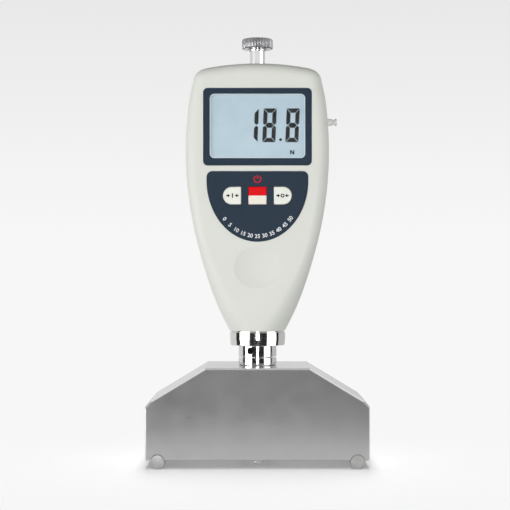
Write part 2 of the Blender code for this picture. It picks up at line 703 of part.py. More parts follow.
def make_stem():
    outer, bevel = STEM_DIAMETER / 2, STEM_BEVEL
    spigot = SPIGOT_DIAMETER / 2
    adapter = [
        (outer - bevel, ADAPTER_TOP),
        (outer, ADAPTER_TOP - bevel),
        (outer, ADAPTER_BOTTOM),
        (spigot, ADAPTER_BOTTOM),
        (spigot, SPIGOT_BOTTOM),
        (TUBE_HOLE, SPIGOT_BOTTOM),
        (TUBE_HOLE, ADAPTER_TOP),
    ]
    turned("base_adapter", adapter, "bright_chrome")
    sleeve_profile = [
        (outer, SLEEVE_TOP),
        (outer, SLEEVE_BOTTOM + bevel),
        (outer - bevel, SLEEVE_BOTTOM),
        (TUBE_HOLE, SLEEVE_BOTTOM),
        (TUBE_HOLE, SLEEVE_TOP),
    ]
    make_clamp_screw(turned("stem_sleeve", sleeve_profile, "bright_chrome"))
    wide, neck, flange = COLLAR_DIAMETER / 2, COLLAR_NECK_DIAMETER / 2, COLLAR_FLANGE_DIAMETER / 2
    flange_bottom = HOUSING_BOTTOM + HOUSING_FLOOR + SEAT_GAP
    flange_top = flange_bottom + COLLAR_FLANGE_HEIGHT
    collar = [
        (flange, flange_top),
        (flange, flange_bottom),
        (neck, flange_bottom),
        (neck, COLLAR_TOP),
        (wide - bevel, COLLAR_TOP),
        (wide, COLLAR_TOP - bevel),
        (wide, COLLAR_BOTTOM + COLLAR_TAPER_HEIGHT),
        (wide - COLLAR_TAPER, COLLAR_BOTTOM + bevel),
        (wide - COLLAR_TAPER - bevel, COLLAR_BOTTOM),
        (TUBE_HOLE, COLLAR_BOTTOM),
        (TUBE_HOLE, flange_top),
    ]
    turned("stem_collar", collar, "bright_chrome", sides=FINE_SIDES)
    ring("inner_tube", TUBE_DIAMETER / 2, TUBE_BORE / 2, TUBE_BOTTOM, TUBE_TOP, "tube_steel")


def make_clamp_screw(sleeve):
    # A hexagon-socket screw through the sleeve, left of the front.
    radius = CLAMP_SCREW_DIAMETER / 2
    outer = STEM_DIAMETER / 2 - CLAMP_SCREW_SINK
    inner = outer - CLAMP_SCREW_LENGTH
    place = Matrix.Translation((0, 0, SLEEVE_BOTTOM + CLAMP_SCREW_RISE))
    place @= Matrix.Rotation(-CLAMP_SCREW_TURN, 4, "Z") @ Matrix.Rotation(math.pi / 2, 4, "X")
    hole = bar("clamp_screw_hole", radius + SEAT_GAP, TUBE_DIAMETER / 2, STEM_DIAMETER / 2 + OVERRUN)
    screw = bar("clamp_screw", radius, inner, outer, finish="screw_steel")
    socket_floor = outer - CLAMP_SCREW_SOCKET_DEPTH
    socket = bar("clamp_screw_socket", CLAMP_SCREW_SOCKET / 2, socket_floor, outer + OVERRUN, sides=6)
    for piece in (hole, screw, socket):
        piece.matrix_world = place
    cut(sleeve, hole)
    cut(screw, socket)


# Measuring line: feeler, plunger, guides, spring and sensor


def make_feeler():
    across, along = HOLDER_WIDTH / 2, HOLDER_LENGTH / 2
    holder = box("feeler_holder", (-across, -along, HOLDER_BOTTOM), (across, along, HOLDER_TOP), "base_aluminium")
    chamfer(holder, HOLDER_BEVEL)
    centre = (0, 0, FEELER_AXIS)
    reach = along + OVERRUN
    socket_floor = HOLDER_TOP - PLUNGER_SOCKET_DEPTH
    cut(
        holder,
        bar("feeler_groove", FEELER_DIAMETER / 2 + SEAT_GAP, -reach, reach, "Y", ROUND_SIDES, centre),
        bar("plunger_socket", PLUNGER_DIAMETER / 2 + SEAT_GAP, socket_floor, HOLDER_TOP + OVERRUN),
    )
    radius, far = FEELER_DIAMETER / 2, FEELER_LENGTH / 2
    rod = [
        (0, far),
        (radius - ROD_BEVEL, far),
        (radius, far - ROD_BEVEL),
        (radius, ROD_BEVEL - far),
        (radius - ROD_BEVEL, -far),
        (0, -far),
    ]
    feeler = turned("feeler_rod", rod, "tube_steel", "Y", centre)
    shaft, collar = PLUNGER_DIAMETER / 2, PLUNGER_COLLAR_DIAMETER / 2
    profile = [
        (0, PLUNGER_TOP),
        (shaft, PLUNGER_TOP),
        (shaft, PLUNGER_COLLAR_TOP),
        (collar, PLUNGER_COLLAR_TOP),
        (collar, PLUNGER_COLLAR_BOTTOM),
        (shaft, PLUNGER_COLLAR_BOTTOM),
        (shaft, PLUNGER_BOTTOM),
        (0, PLUNGER_BOTTOM),
    ]
    plunger = turned("plunger", profile, "tube_steel", sides=SMALL_SIDES)
    core_bottom = PLUNGER_TOP + SEAT_GAP
    core = bar("sensor_core", shaft, core_bottom, core_bottom + CORE_LENGTH, finish="core_ferrite")
    carried_by("feeler", (0, 0, FEELER_AXIS), [holder, feeler, plunger, core])


def make_guides():
    flange = TUBE_DIAMETER / 2
    flange_top = TUBE_BOTTOM - SEAT_GAP
    bush = [
        (INNER_FIT, BUSH_TOP),
        (INNER_FIT, flange_top),
        (flange, flange_top),
        (flange, flange_top - BUSH_FLANGE_HEIGHT),
        (PLUNGER_HOLE, flange_top - BUSH_FLANGE_HEIGHT),
        (PLUNGER_HOLE, BUSH_TOP),
    ]
    turned("guide_bush", bush, "bush_brass", sides=SMALL_SIDES)
    top = UPPER_GUIDE_BOTTOM + UPPER_GUIDE_HEIGHT
    ring("upper_guide", INNER_FIT, PLUNGER_HOLE, UPPER_GUIDE_BOTTOM, top, "bush_brass", SMALL_SIDES)


def spring_points():
    # The coil's centre line, each end turned square to the face that it presses on.
    low, high = PLUNGER_COLLAR_TOP + SEAT_GAP, UPPER_GUIDE_BOTTOM - SEAT_GAP
    radius, steps = SPRING_MEAN_DIAMETER / 2, SPRING_TURNS * SPRING_POINTS_A_TURN
    start, rise = low + SPRING_WIRE, high - low - 2 * SPRING_WIRE
    points = [Vector((radius, 0, low))]
    for step in range(steps + 1):
        turn = 2 * math.pi * step / SPRING_POINTS_A_TURN
        points.append(Vector((radius * math.cos(turn), radius * math.sin(turn), start + rise * step / steps)))
    last = points[-1]
    points.append(Vector((last.x, last.y, high)))
    return points


def least_gap(points, diameter, near):
    # The smallest space between two stretches that lie more than so many points apart.
    pairs = ((a, b) for a in range(len(points)) for b in range(a + near, len(points)))
    return min((points[a] - points[b]).length for a, b in pairs) - diameter


def make_spring():
    points = spring_points()
    gap = least_gap(points, SPRING_WIRE, SPRING_POINTS_A_TURN // 2)
    print(f"return_spring: least gap between turns {gap * 1000:.2f} mm")
    line = bpy.data.curves.new("return_spring", "CURVE")
    line.dimensions = "3D"
    line.bevel_depth = SPRING_WIRE / 2
    line.bevel_resolution = 1
    line.use_fill_caps = True
    spline = line.splines.new("POLY")
    spline.points.add(len(points) - 1)
    for point, place in zip(spline.points, points):
        point.co = (*place, 1)
    spring = bpy.data.objects.new("return_spring", line)
    PIECES.objects.link(spring)
    line.materials.append(finish_for("return_spring", "tube_steel"))


def make_sensor():
    outer, core, bore = BOBBIN_DIAMETER / 2, BOBBIN_CORE_DIAMETER / 2, BOBBIN_BORE / 2
    upper, lower = BOBBIN_TOP - BOBBIN_FLANGE, BOBBIN_BOTTOM + BOBBIN_FLANGE
    bobbin = [
        (outer, BOBBIN_TOP),
        (outer, upper),
        (core, upper),
        (core, lower),
        (outer, lower),
        (outer, BOBBIN_BOTTOM),
        (bore, BOBBIN_BOTTOM),
        (bore, BOBBIN_TOP),
    ]
    turned("sensor_bobbin", bobbin, "holder_white", sides=SMALL_SIDES)
    inner = core + SEAT_GAP
    ring("sensor_winding", WINDING_DIAMETER / 2, inner, lower + SEAT_GAP, upper - SEAT_GAP, "winding_copper", SMALL_SIDES)


# Housing shells


def side_half_width(height):
    # A smooth curve through the side's stations, from the collar's radius upwards.
    levels = [HOUSING_BOTTOM + share * HOUSING_HEIGHT for share in SIDE_HEIGHT_SHARES]
    widths = [COLLAR_DIAMETER / 2] + [share * HOUSING_WIDTH / 2 for share in SIDE_WIDTH_SHARES]
    slopes = []
    for index in range(len(levels)):
        before, after = max(index - 1, 0), min(index + 1, len(levels) - 1)
        slopes.append((widths[after] - widths[before]) / (levels[after] - levels[before]))
    index = max(i for i in range(len(levels) - 1) if levels[i] <= height + WELD)
    span = levels[index + 1] - levels[index]
    t = (height - levels[index]) / span
    return (
        (1 + 2 * t) * (1 - t) ** 2 * widths[index]
        + t * (1 - t) ** 2 * span * slopes[index]
        + t * t * (3 - 2 * t) * widths[index + 1]
        + t * t * (t - 1) * span * slopes[index + 1]
    )


def crown_height(x):
    return HOUSING_TOP - CROWN_RISE * (x / (CROWN_WIDTH / 2)) ** 2


def housing_stations(floor):
    # (point, inward direction) of each station of the right half, from the floor to the crown.
    shoulder = HOUSING_BOTTOM + SIDE_HEIGHT_SHARES[-1] * HOUSING_HEIGHT
    flare_top = HOUSING_BOTTOM + FLARE_HEIGHT
    heights = [floor + (flare_top - floor) * step / FLARE_STEPS for step in range(FLARE_STEPS)]
    heights += [flare_top + (shoulder - flare_top) * step / SIDE_STEPS for step in range(SIDE_STEPS + 1)]
    stations = [(Vector((side_half_width(height), height)), 0.0) for height in heights]
    start, end = stations[-1][0], Vector((CROWN_WIDTH / 2, crown_height(CROWN_WIDTH / 2)))
    pull = Vector((start.x - CORNER_LEAN, crown_height(start.x - CORNER_LEAN)))
    turn = math.atan2(CROWN_WIDTH / 2, 2 * CROWN_RISE)
    for step in range(1, CORNER_STEPS + 1):
        t = step / CORNER_STEPS
        point = start * (1 - t) ** 2 + pull * 2 * t * (1 - t) + end * t * t
        stations.append((point, turn * t))
    for step in range(1, CROWN_STEPS + 1):
        t = step / CROWN_STEPS
        x = end.x * (1 - t)
        stations.append((Vector((x, crown_height(x))), turn + (math.pi / 2 - turn) * t))
    return stations


def housing_section(point, turn, inset, steps):
    # The points from the flat front round the edge to the flat back at one station.
    rise = point.y - HOUSING_BOTTOM
    neck = max(1 - rise / NECK_HEIGHT, 0) ** 3
    flare = max(1 - rise / FLARE_HEIGHT, 0) ** FLARE_POWER
    half_depth = HOUSING_DEPTH / 2 + (COLLAR_DIAMETER / 2 - HOUSING_DEPTH / 2) * neck
    radius = EDGE_RADIUS + (COLLAR_DIAMETER / 2 * ROUND_SHARE - EDGE_RADIUS) * flare
    flat = half_depth - radius
    radius -= inset
    outward = Vector((math.cos(turn), math.sin(turn)))
    front = []
    for step in range(steps + 1):
        angle = math.pi / 2 * step / steps
        place = point - outward * (inset + radius * (1 - math.sin(angle)))
        front.append((place.x, -flat - radius * math.cos(angle), place.y))
    return front + [(x, -y, z) for x, y, z in reversed(front)]


def housing_solid(name, inset, floor, steps, finish=None):
    # One half of the outline is a loft through its stations; Mirror makes the other.
    shape = bmesh.new()
    rings, fronts, backs = [], [], []
    for point, turn in housing_stations(floor):
        section = housing_section(point, turn, inset, steps)
        rings.append([shape.verts.new(place) for place in section])
        fronts.append(shape.verts.new((0, section[0][1], section[0][2])))
        backs.append(shape.verts.new((0, section[-1][1], section[-1][2])))
    for index in range(len(rings) - 1):
        low, high = rings[index], rings[index + 1]
        for step in range(len(low) - 1):
            shape.faces.new((low[step], low[step + 1], high[step + 1], high[step]))
        shape.faces.new((fronts[index], low[0], high[0], fronts[index + 1]))
        shape.faces.new((backs[index], backs[index + 1], high[-1], low[-1]))
    shape.faces.new([backs[0], *reversed(rings[0]), fronts[0]])
    bmesh.ops.remove_doubles(shape, verts=shape.verts, dist=WELD)
    made = placed(name, mesh_from(name, shape, finish), finish)
    mirror = made.modifiers.new("other_half", "MIRROR")
    mirror.merge_threshold = WELD
    return made


def case_screw_places():
    high, low = HOUSING_TOP - CASE_SCREW_HIGH_DROP, HOUSING_BOTTOM + CASE_SCREW_LOW_RISE
    wide, narrow = CASE_SCREW_HIGH_SPACING / 2, CASE_SCREW_LOW_SPACING / 2
    return {"1": (-wide, high), "2": (wide, high), "3": (-narrow, low), "4": (narrow, low)}


def shell_from(name, inside, front):
    # The hollow housing, kept on one side of the seam.
    shell = housing_solid(name, 0, HOUSING_BOTTOM, EDGE_STEPS, "housing_plastic")
    cut(shell, inside)
    reach = HOUSING_DEPTH
    low, high = (-reach, -SEAM_GAP / 2) if front else (SEAM_GAP / 2, reach)
    half = box(
        f"{name}_half",
        (-HOUSING_WIDTH, low, HOUSING_BOTTOM - OVERRUN),
        (HOUSING_WIDTH, high, HOUSING_TOP + OVERRUN),
    )
    boolean(shell, half, "INTERSECT")
    return shell


def cut_shared_holes(shell, name):
    # What passes the seam: the collar's neck, the strap stud and the thumb screw's bush.
    shank_hole = SHANK_DIAMETER / 2 + SLIDE_GAP
    neck = COLLAR_NECK_DIAMETER / 2 + SEAT_GAP
    floor = HOUSING_BOTTOM - OVERRUN
    bush_bottom = TOP_BUSH_TOP - TOP_BUSH_HEIGHT
    stud = (0, 0, STUD_LEVEL)
    stud_start = STUD_REACH - STUD_LENGTH - SEAT_GAP
    cut(
        shell,
        bar(f"{name}_neck_hole", neck, floor, HOUSING_BOTTOM + HOUSING_FLOOR + SEAT_GAP / 2, sides=ROUND_SIDES),
        bar(f"{name}_shank_hole", shank_hole, HOUSING_TOP - HOUSING_DEPTH, HOUSING_TOP + OVERRUN, sides=ROUND_SIDES),
        bar(f"{name}_bush_pocket", TOP_BUSH_DIAMETER / 2 + SEAT_GAP, bush_bottom - SEAT_GAP, TOP_BUSH_TOP + SEAT_GAP, sides=ROUND_SIDES),
        bar(f"{name}_stud_hole", STUD_DIAMETER / 2 + SEAT_GAP, stud_start, STUD_REACH, "X", SMALL_SIDES, stud),
    )


def leave_bosses(inside):
    # What the hollow spares: screw bosses, board posts and the block round the top bush.
    half, low = TOP_BOSS_WIDTH / 2, HOUSING_TOP - HOUSING_WALL - TOP_BOSS_HEIGHT
    cut(inside, box("top_boss", (-half, -half, low), (half, half, HOUSING_TOP)))
    front = CASE_SCREW_DIAMETER / 2 + SEAT_GAP + BOSS_WALL
    back = CASE_SCREW_HEAD_DIAMETER / 2 + SEAT_GAP + BOSS_WALL
    for number, (x, z) in case_screw_places().items():
        cut(
            inside,
            bar(f"front_boss_{number}", front, HOUSING_FRONT, 0, "Y", SMALL_SIDES, (x, 0, z)),
            bar(f"rear_boss_{number}", back, 0, HOUSING_BACK, "Y", SMALL_SIDES, (x, 0, z)),
        )
    post, end = BOARD_SCREW_DIAMETER / 2 + SEAT_GAP + BOSS_WALL, BOARD_FRONT - SEAT_GAP
    for side, x, z in board_screw_places():
        cut(inside, bar(f"board_post_{side}", post, HOUSING_FRONT, end, "Y", SMALL_SIDES, (x, 0, z)))


def make_front_shell(inside):
    shell = shell_from("front_shell", inside, True)
    under_head = HOUSING_BACK - CASE_SCREW_SEAT_DEPTH + SEAT_GAP
    low, radius = under_head - CASE_SCREW_LENGTH - SEAT_GAP, CASE_SCREW_DIAMETER / 2 + SEAT_GAP
    for number, (x, z) in case_screw_places().items():
        cut(shell, bar(f"front_pilot_{number}", radius, low, OVERRUN, "Y", SMALL_SIDES, (x, 0, z)))
    low, radius = BOARD_BACK - BOARD_SCREW_LENGTH, BOARD_SCREW_DIAMETER / 2 + SEAT_GAP
    for side, x, z in board_screw_places():
        cut(shell, bar(f"board_pilot_{side}", radius, low, BOARD_FRONT, "Y", SMALL_SIDES, (x, 0, z)))
    cut_shared_holes(shell, "front")
    cut_front_openings(shell)


def cut_front_openings(shell):
    outside, floor = HOUSING_FRONT - OVERRUN, HOUSING_FRONT + RECESS_DEPTH
    inside = FRONT_WALL_INSIDE + OVERRUN / 2
    grown = 2 * EDGE_GAP
    display = rounded_outline(DISPLAY_WIDTH + grown, DISPLAY_HEIGHT + grown, DISPLAY_CORNER + EDGE_GAP, DISPLAY_MIDDLE)
    cut(shell, plate("display_recess", [display], outside, floor))
    ledge = 2 * WINDOW_LEDGE
    view = rounded_outline(WINDOW_WIDTH - ledge, WINDOW_HEIGHT - ledge, WINDOW_CORNER - WINDOW_LEDGE, WINDOW_MIDDLE)
    cut(shell, plate("display_view", [view], outside, inside))
    cut(shell, plate("keypad_recess", [keypad_outline(EDGE_GAP)], outside, floor))
    for name, outline in key_outlines(EDGE_GAP).items():
        cut(shell, plate(f"{name}_opening", [outline], outside, inside))
    cut(shell, scoop("thumb_dish", DISH_WIDTH, DISH_HEIGHT, DISH_DEPTH, "Y", HOUSING_FRONT, DISH_MIDDLE))


def make_rear_shell(inside):
    shell = shell_from("rear_shell", inside, False)
    seat, mouth = HOUSING_BACK - CASE_SCREW_SEAT_DEPTH, HOUSING_BACK + OVERRUN
    way, well = CASE_SCREW_DIAMETER / 2 + SEAT_GAP, CASE_SCREW_HEAD_DIAMETER / 2 + SEAT_GAP
    profile = [(0, mouth), (well, mouth), (well, seat), (way, seat), (way, -OVERRUN), (0, -OVERRUN)]
    for number, (x, z) in case_screw_places().items():
        cut(shell, turned(f"screw_hole_{number}", profile, None, "Y", (x, 0, z), SMALL_SIDES))
    cut_shared_holes(shell, "rear")
    low = (-DOOR_OPENING_HALF, BACK_WALL_INSIDE - OVERRUN, DOOR_OPENING_BOTTOM)
    high = (DOOR_OPENING_HALF, HOUSING_BACK + OVERRUN, DOOR_OPENING_TOP)
    cut(shell, box("door_opening", low, high))


def make_case_screws():
    under_head = HOUSING_BACK - CASE_SCREW_SEAT_DEPTH + SEAT_GAP
    for number, (x, z) in case_screw_places().items():
        back_screw(
            f"case_screw_{number}",
            x,
            z,
            under_head,
            CASE_SCREW_DIAMETER,
            CASE_SCREW_LENGTH,
            CASE_SCREW_HEAD_DIAMETER,
            CASE_SCREW_HEAD_HEIGHT,
        )


def make_strap_stud():
    # A turned stud with a groove near its tip and a flange behind the housing wall.
    body, neck = STUD_DIAMETER / 2, STUD_NECK_DIAMETER / 2
    flange = STUD_FLANGE_DIAMETER / 2
    inner = STUD_REACH - STUD_LENGTH
    groove = STUD_REACH - STUD_TIP_LENGTH
    profile = [
        (0, STUD_REACH),
        (body - ROD_BEVEL, STUD_REACH),
        (body, STUD_REACH - ROD_BEVEL),
        (body, groove),
        (neck, groove),
        (neck, groove - STUD_NECK_LENGTH),
        (body, groove - STUD_NECK_LENGTH),
        (body, inner + STUD_FLANGE_LENGTH),
        (flange, inner + STUD_FLANGE_LENGTH),
        (flange, inner),
        (0, inner),
    ]
    turned("strap_stud", profile, "stud_grey", "X", (0, 0, STUD_LEVEL), SMALL_SIDES)


# Display and board


def make_display():
    frame = rounded_outline(DISPLAY_WIDTH, DISPLAY_HEIGHT, DISPLAY_CORNER, DISPLAY_MIDDLE)
    hole = rounded_outline(WINDOW_WIDTH, WINDOW_HEIGHT, WINDOW_CORNER, WINDOW_MIDDLE)
    plate("display_frame", [frame, hole], FILM_FRONT, FILM_BACK, "film_navy")
    less = 2 * SEAT_GAP
    window = rounded_outline(WINDOW_WIDTH - less, WINDOW_HEIGHT - less, WINDOW_CORNER - SEAT_GAP, WINDOW_MIDDLE)
    plate("display_window", [window], FILM_FRONT, FILM_BACK, "window_clear")
    across, up = LCD_WIDTH / 2, LCD_HEIGHT / 2
    box("lcd_panel", (-across, LCD_FRONT, WINDOW_MIDDLE - up), (across, LCD_BACK, WINDOW_MIDDLE + up), "lcd_glass")
    inner_x, inner_z = across + SEAT_GAP, up + SEAT_GAP
    outer_x, outer_z = inner_x + LCD_HOLDER_WALL, inner_z + LCD_HOLDER_WALL
    back = BOARD_FRONT - SEAT_GAP
    holder = box("lcd_holder", (-outer_x, LCD_FRONT, WINDOW_MIDDLE - outer_z), (outer_x, back, WINDOW_MIDDLE + outer_z), "holder_white")
    reach = (inner_x, back + OVERRUN, WINDOW_MIDDLE + inner_z)
    cut(holder, box("lcd_well", (-inner_x, LCD_FRONT - OVERRUN, WINDOW_MIDDLE - inner_z), reach))
    for side, sign in (("upper", 1), ("lower", -1)):
        middle = WINDOW_MIDDLE + sign * (up - ZEBRA_WIDTH / 2)
        low = (-ZEBRA_LENGTH / 2, ZEBRA_FRONT, middle - ZEBRA_WIDTH / 2)
        high = (ZEBRA_LENGTH / 2, ZEBRA_BACK, middle + ZEBRA_WIDTH / 2)
        box(f"contact_strip_{side}", low, high, "contact_rubber")


def board_screw_places():
    half, level = BOARD_SCREW_SPACING / 2, BOARD_BOTTOM + BOARD_SCREW_DROP
    return (("left", -half, level), ("right", half, level))


def make_board():
    half = BOARD_WIDTH / 2
    board = box("main_board", (-half, BOARD_FRONT, BOARD_BOTTOM), (half, BOARD_BACK, HOLDER_FRAME_TOP), "board_green")
    radius = BOARD_SCREW_DIAMETER / 2 + SEAT_GAP
    under_head = BOARD_BACK + SEAT_GAP
    for side, x, z in board_screw_places():
        cut(board, bar(f"board_hole_{side}", radius, BOARD_FRONT - OVERRUN, BOARD_BACK + OVERRUN, "Y", SMALL_SIDES, (x, 0, z)))
        back_screw(
            f"board_screw_{side}",
            x,
            z,
            under_head,
            BOARD_SCREW_DIAMETER,
            BOARD_SCREW_LENGTH,
            BOARD_SCREW_HEAD_DIAMETER,
            BOARD_SCREW_HEAD_HEIGHT,
        )
    chip, low = CHIP_WIDTH / 2, BOARD_BOTTOM + SEAT_GAP
    back = BOARD_BACK + SEAT_GAP
    box("controller_chip", (-chip, back, low), (chip, back + CHIP_THICKNESS, low + CHIP_WIDTH), "chip_black")


# Keypad


def keypad_outline(grown):
    # A straight top with round corners over a half ellipse.
    half, curve = KEYPAD_WIDTH / 2 + grown, KEYPAD_CURVE + grown
    corner, top = KEYPAD_CORNER + grown, KEYPAD_TOP + grown
    shoulder = KEYPAD_TOP - KEYPAD_SHOULDER
    points = arc((half - corner, top - corner), corner, 0, 90, 4)
    points += arc((corner - half, top - corner), corner, 90, 180, 4)
    ellipse = arc((0, 0), 1, 180, 360, ROUND_SIDES)
    return points + [(x * half, shoulder + z * curve) for x, z in ellipse]


def key_outlines(grown):
    # The outer keys are round towards the side and flat towards the middle one.
    half_width, half_height = KEY_WIDTH / 2 + grown, KEY_HEIGHT / 2 + grown
    corner = KEY_CORNER + grown
    right = arc((half_width - half_height, KEY_ROW), half_height, -90, 90, SMALL_SIDES)
    right += arc((corner - half_width, KEY_ROW + half_height - corner), corner, 90, 180, 2)
    right += arc((corner - half_width, KEY_ROW - half_height + corner), corner, 180, 270, 2)
    left = [(-x, z) for x, z in reversed(right)]
    square = rounded_outline(2 * half_width, 2 * half_height, corner, KEY_ROW, 2)
    return {
        "left_key": shifted(left, -KEY_SPACING),
        "power_key": square,
        "right_key": shifted(right, KEY_SPACING),
    }


def make_keypad():
    holes = list(key_outlines(EDGE_GAP).values())
    plate("keypad_overlay", [keypad_outline(0), *holes], FILM_FRONT, FILM_BACK, "film_navy")
    flanges = key_outlines(KEY_FLANGE_WIDTH)
    places = {"left_key": -KEY_SPACING, "power_key": 0, "right_key": KEY_SPACING}
    for name, outline in key_outlines(0).items():
        finish = "key_red" if name == "power_key" else "key_ivory"
        key = plate(name, [outline], HOUSING_FRONT - KEY_PROUD, KEY_FLANGE_BACK, finish)
        join(key, plate(f"{name}_flange", [flanges[name]], KEY_FLANGE_FRONT, KEY_FLANGE_BACK))
        make_switch(name.replace("_key", ""), places[name], key)


def make_switch(name, x, key):
    half = SWITCH_WIDTH / 2
    case = box(
        f"{name}_switch_case",
        (x - half, CASE_FRONT, KEY_ROW - half),
        (x + half, CASE_BACK, KEY_ROW + half),
        "switch_black",
    )
    radius, centre = SWITCH_STEM_DIAMETER / 2, (x, 0, KEY_ROW)
    well = CASE_FRONT + SWITCH_WELL
    cut(case, bar(f"{name}_switch_well", radius + SLIDE_GAP, CASE_FRONT - OVERRUN, well, "Y", SMALL_SIDES, centre))
    stem_back = well - KEY_TRAVEL - SEAT_GAP
    stem = bar(f"{name}_switch_stem", radius, STEM_FRONT, stem_back, "Y", SMALL_SIDES, centre, finish="holder_white")
    carried_by(f"{name}_key", (x, HOUSING_FRONT, KEY_ROW), [key, stem])


# Thumb screw at the top


def head_outline():
    # Straight knurling: a narrow crest and a narrow root in turn.
    crest, root = HEAD_DIAMETER / 2, HEAD_DIAMETER / 2 - HEAD_RIDGE_DEPTH
    points = []
    for step in range(4 * HEAD_RIDGES):
        radius = crest if step % 4 in (0, 1) else root
        angle = 2 * math.pi * step / (4 * HEAD_RIDGES)
        points.append((radius * math.cos(angle), radius * math.sin(angle)))
    return points


def make_thumb_screw():
    head = plate("thumb_screw", [head_outline()], SHANK_TOP, HEAD_TOP, "bright_chrome", "Z")
    lean, reach = HEAD_DIAMETER / 2 - HEAD_BEVEL, HEAD_DIAMETER
    cone = [
        (reach, HEAD_TOP + OVERRUN),
        (reach, SHANK_TOP - OVERRUN),
        (lean - OVERRUN, SHANK_TOP - OVERRUN),
        (HEAD_DIAMETER / 2, SHANK_TOP + HEAD_BEVEL),
        (HEAD_DIAMETER / 2, HEAD_TOP - HEAD_BEVEL),
        (lean - OVERRUN, HEAD_TOP + OVERRUN),
    ]
    cut(head, turned("head_bevels", cone, sides=FINE_SIDES))
    shank = SHANK_DIAMETER / 2
    tip = [
        (0, SHANK_TOP + SINK),
        (shank, SHANK_TOP + SINK),
        (shank, SHANK_BOTTOM + HEAD_BEVEL),
        (shank - HEAD_BEVEL, SHANK_BOTTOM),
        (0, SHANK_BOTTOM),
    ]
    join(head, turned("shank", tip))
    hole = shank + SLIDE_GAP
    high = SHANK_TOP - SEAT_GAP
    washer = ring("thumb_washer", WASHER_DIAMETER / 2, hole, high - WASHER_THICKNESS, high, "bright_chrome")
    bush_bottom = TOP_BUSH_TOP - TOP_BUSH_HEIGHT
    ring("top_bush", TOP_BUSH_DIAMETER / 2, hole, bush_bottom, TOP_BUSH_TOP, "bush_brass")
    carried_by("thumb_screw", (0, 0, SHANK_TOP), [head])
    carried_by("thumb_washer", (0, 0, high), [washer])


# Cells, box, contacts and door


def cell_places():
    first = -(CELL_COUNT - 1) * CELL_PITCH / 2
    return [first + number * CELL_PITCH for number in range(CELL_COUNT)]


def make_cells():
    # Neighbours stand opposite ways up.
    radius, nub = CELL_DIAMETER / 2, CELL_NUB_DIAMETER / 2
    for number, x in enumerate(cell_places()):
        profile = [
            (0, CELL_LENGTH),
            (nub, CELL_LENGTH),
            (nub, CELL_LENGTH - CELL_NUB_LENGTH),
            (radius - ROD_BEVEL, CELL_LENGTH - CELL_NUB_LENGTH),
            (radius, CELL_LENGTH - CELL_NUB_LENGTH - ROD_BEVEL),
            (radius, ROD_BEVEL),
            (radius - ROD_BEVEL, 0),
            (0, 0),
        ]
        cell = turned(f"cell_{number + 1}", profile, "cell_jacket", centre=(x, CELL_AXIS, CELL_BOTTOM), sides=SMALL_SIDES)
        if number % 2:
            flip = Matrix.Rotation(math.pi, 4, "X")
            cell.matrix_world = Matrix.Translation((x, CELL_AXIS, CELL_BOTTOM + CELL_LENGTH)) @ flip


def make_cell_box():
    inner_x = BOX_INNER_WIDTH / 2
    outer_x = inner_x + BOX_WALL
    floor_front = BOX_FLOOR - BOX_WALL
    tray = box("cell_box", (-outer_x, floor_front, BOX_BOTTOM), (outer_x, BOX_BACK, BOX_TOP), "holder_white")
    flange_x = outer_x + BOX_FLANGE_WIDTH
    flange_low = (-flange_x, BOX_BACK - BOX_FLANGE_THICKNESS, BOX_BOTTOM)
    join(tray, box("box_flange", flange_low, (flange_x, BOX_BACK, BOX_TOP)))
    well_low = (-inner_x, BOX_FLOOR, BOX_BOTTOM + BOX_WALL)
    cut(tray, box("box_well", well_low, (inner_x, BOX_BACK + OVERRUN, BOX_TOP - BOX_WALL)))
    low = (-inner_x, BOX_BACK - BOX_TOP_CUT, BOX_TOP - 2 * BOX_WALL)
    cut(tray, box("hook_room", low, (inner_x, BOX_BACK + OVERRUN, BOX_TOP + OVERRUN)))


def contact(name, places, top):
    # A stamped plate at one end of the box with a bump against each cell it serves.
    half = CONTACT_WIDTH / 2
    wall = BOX_TOP - BOX_WALL - SEAT_GAP if top else BOX_BOTTOM + BOX_WALL + SEAT_GAP
    face = wall - CONTACT_THICKNESS if top else wall + CONTACT_THICKNESS
    cell_end = CELL_BOTTOM + CELL_LENGTH + SEAT_GAP if top else CELL_BOTTOM - SEAT_GAP
    front = CELL_AXIS - CONTACT_HEIGHT / 2
    low = (places[0] - half, front, min(wall, face))
    high = (places[-1] + half, front + CONTACT_HEIGHT, max(wall, face))
    made = box(name, low, high, "contact_nickel")
    sunk = (wall + face) / 2
    wide, narrow = CONTACT_BUMP_DIAMETER / 2, CONTACT_BUMP_TIP / 2
    for number, x in enumerate(places):
        ends = (cell_end, sunk, narrow, wide) if top else (sunk, cell_end, wide, narrow)
        bump = bar(f"{name}_bump_{number}", ends[2], ends[0], ends[1], centre=(x, CELL_AXIS, 0), tip=ends[3])
        join(made, bump)


def make_contacts():
    places = cell_places()
    contact("contact_top_left", places[:2], True)
    contact("contact_top_right", places[2:], True)
    contact("contact_bottom_left", places[:1], False)
    contact("contact_bottom_middle", places[1:3], False)
    contact("contact_bottom_right", places[3:], False)


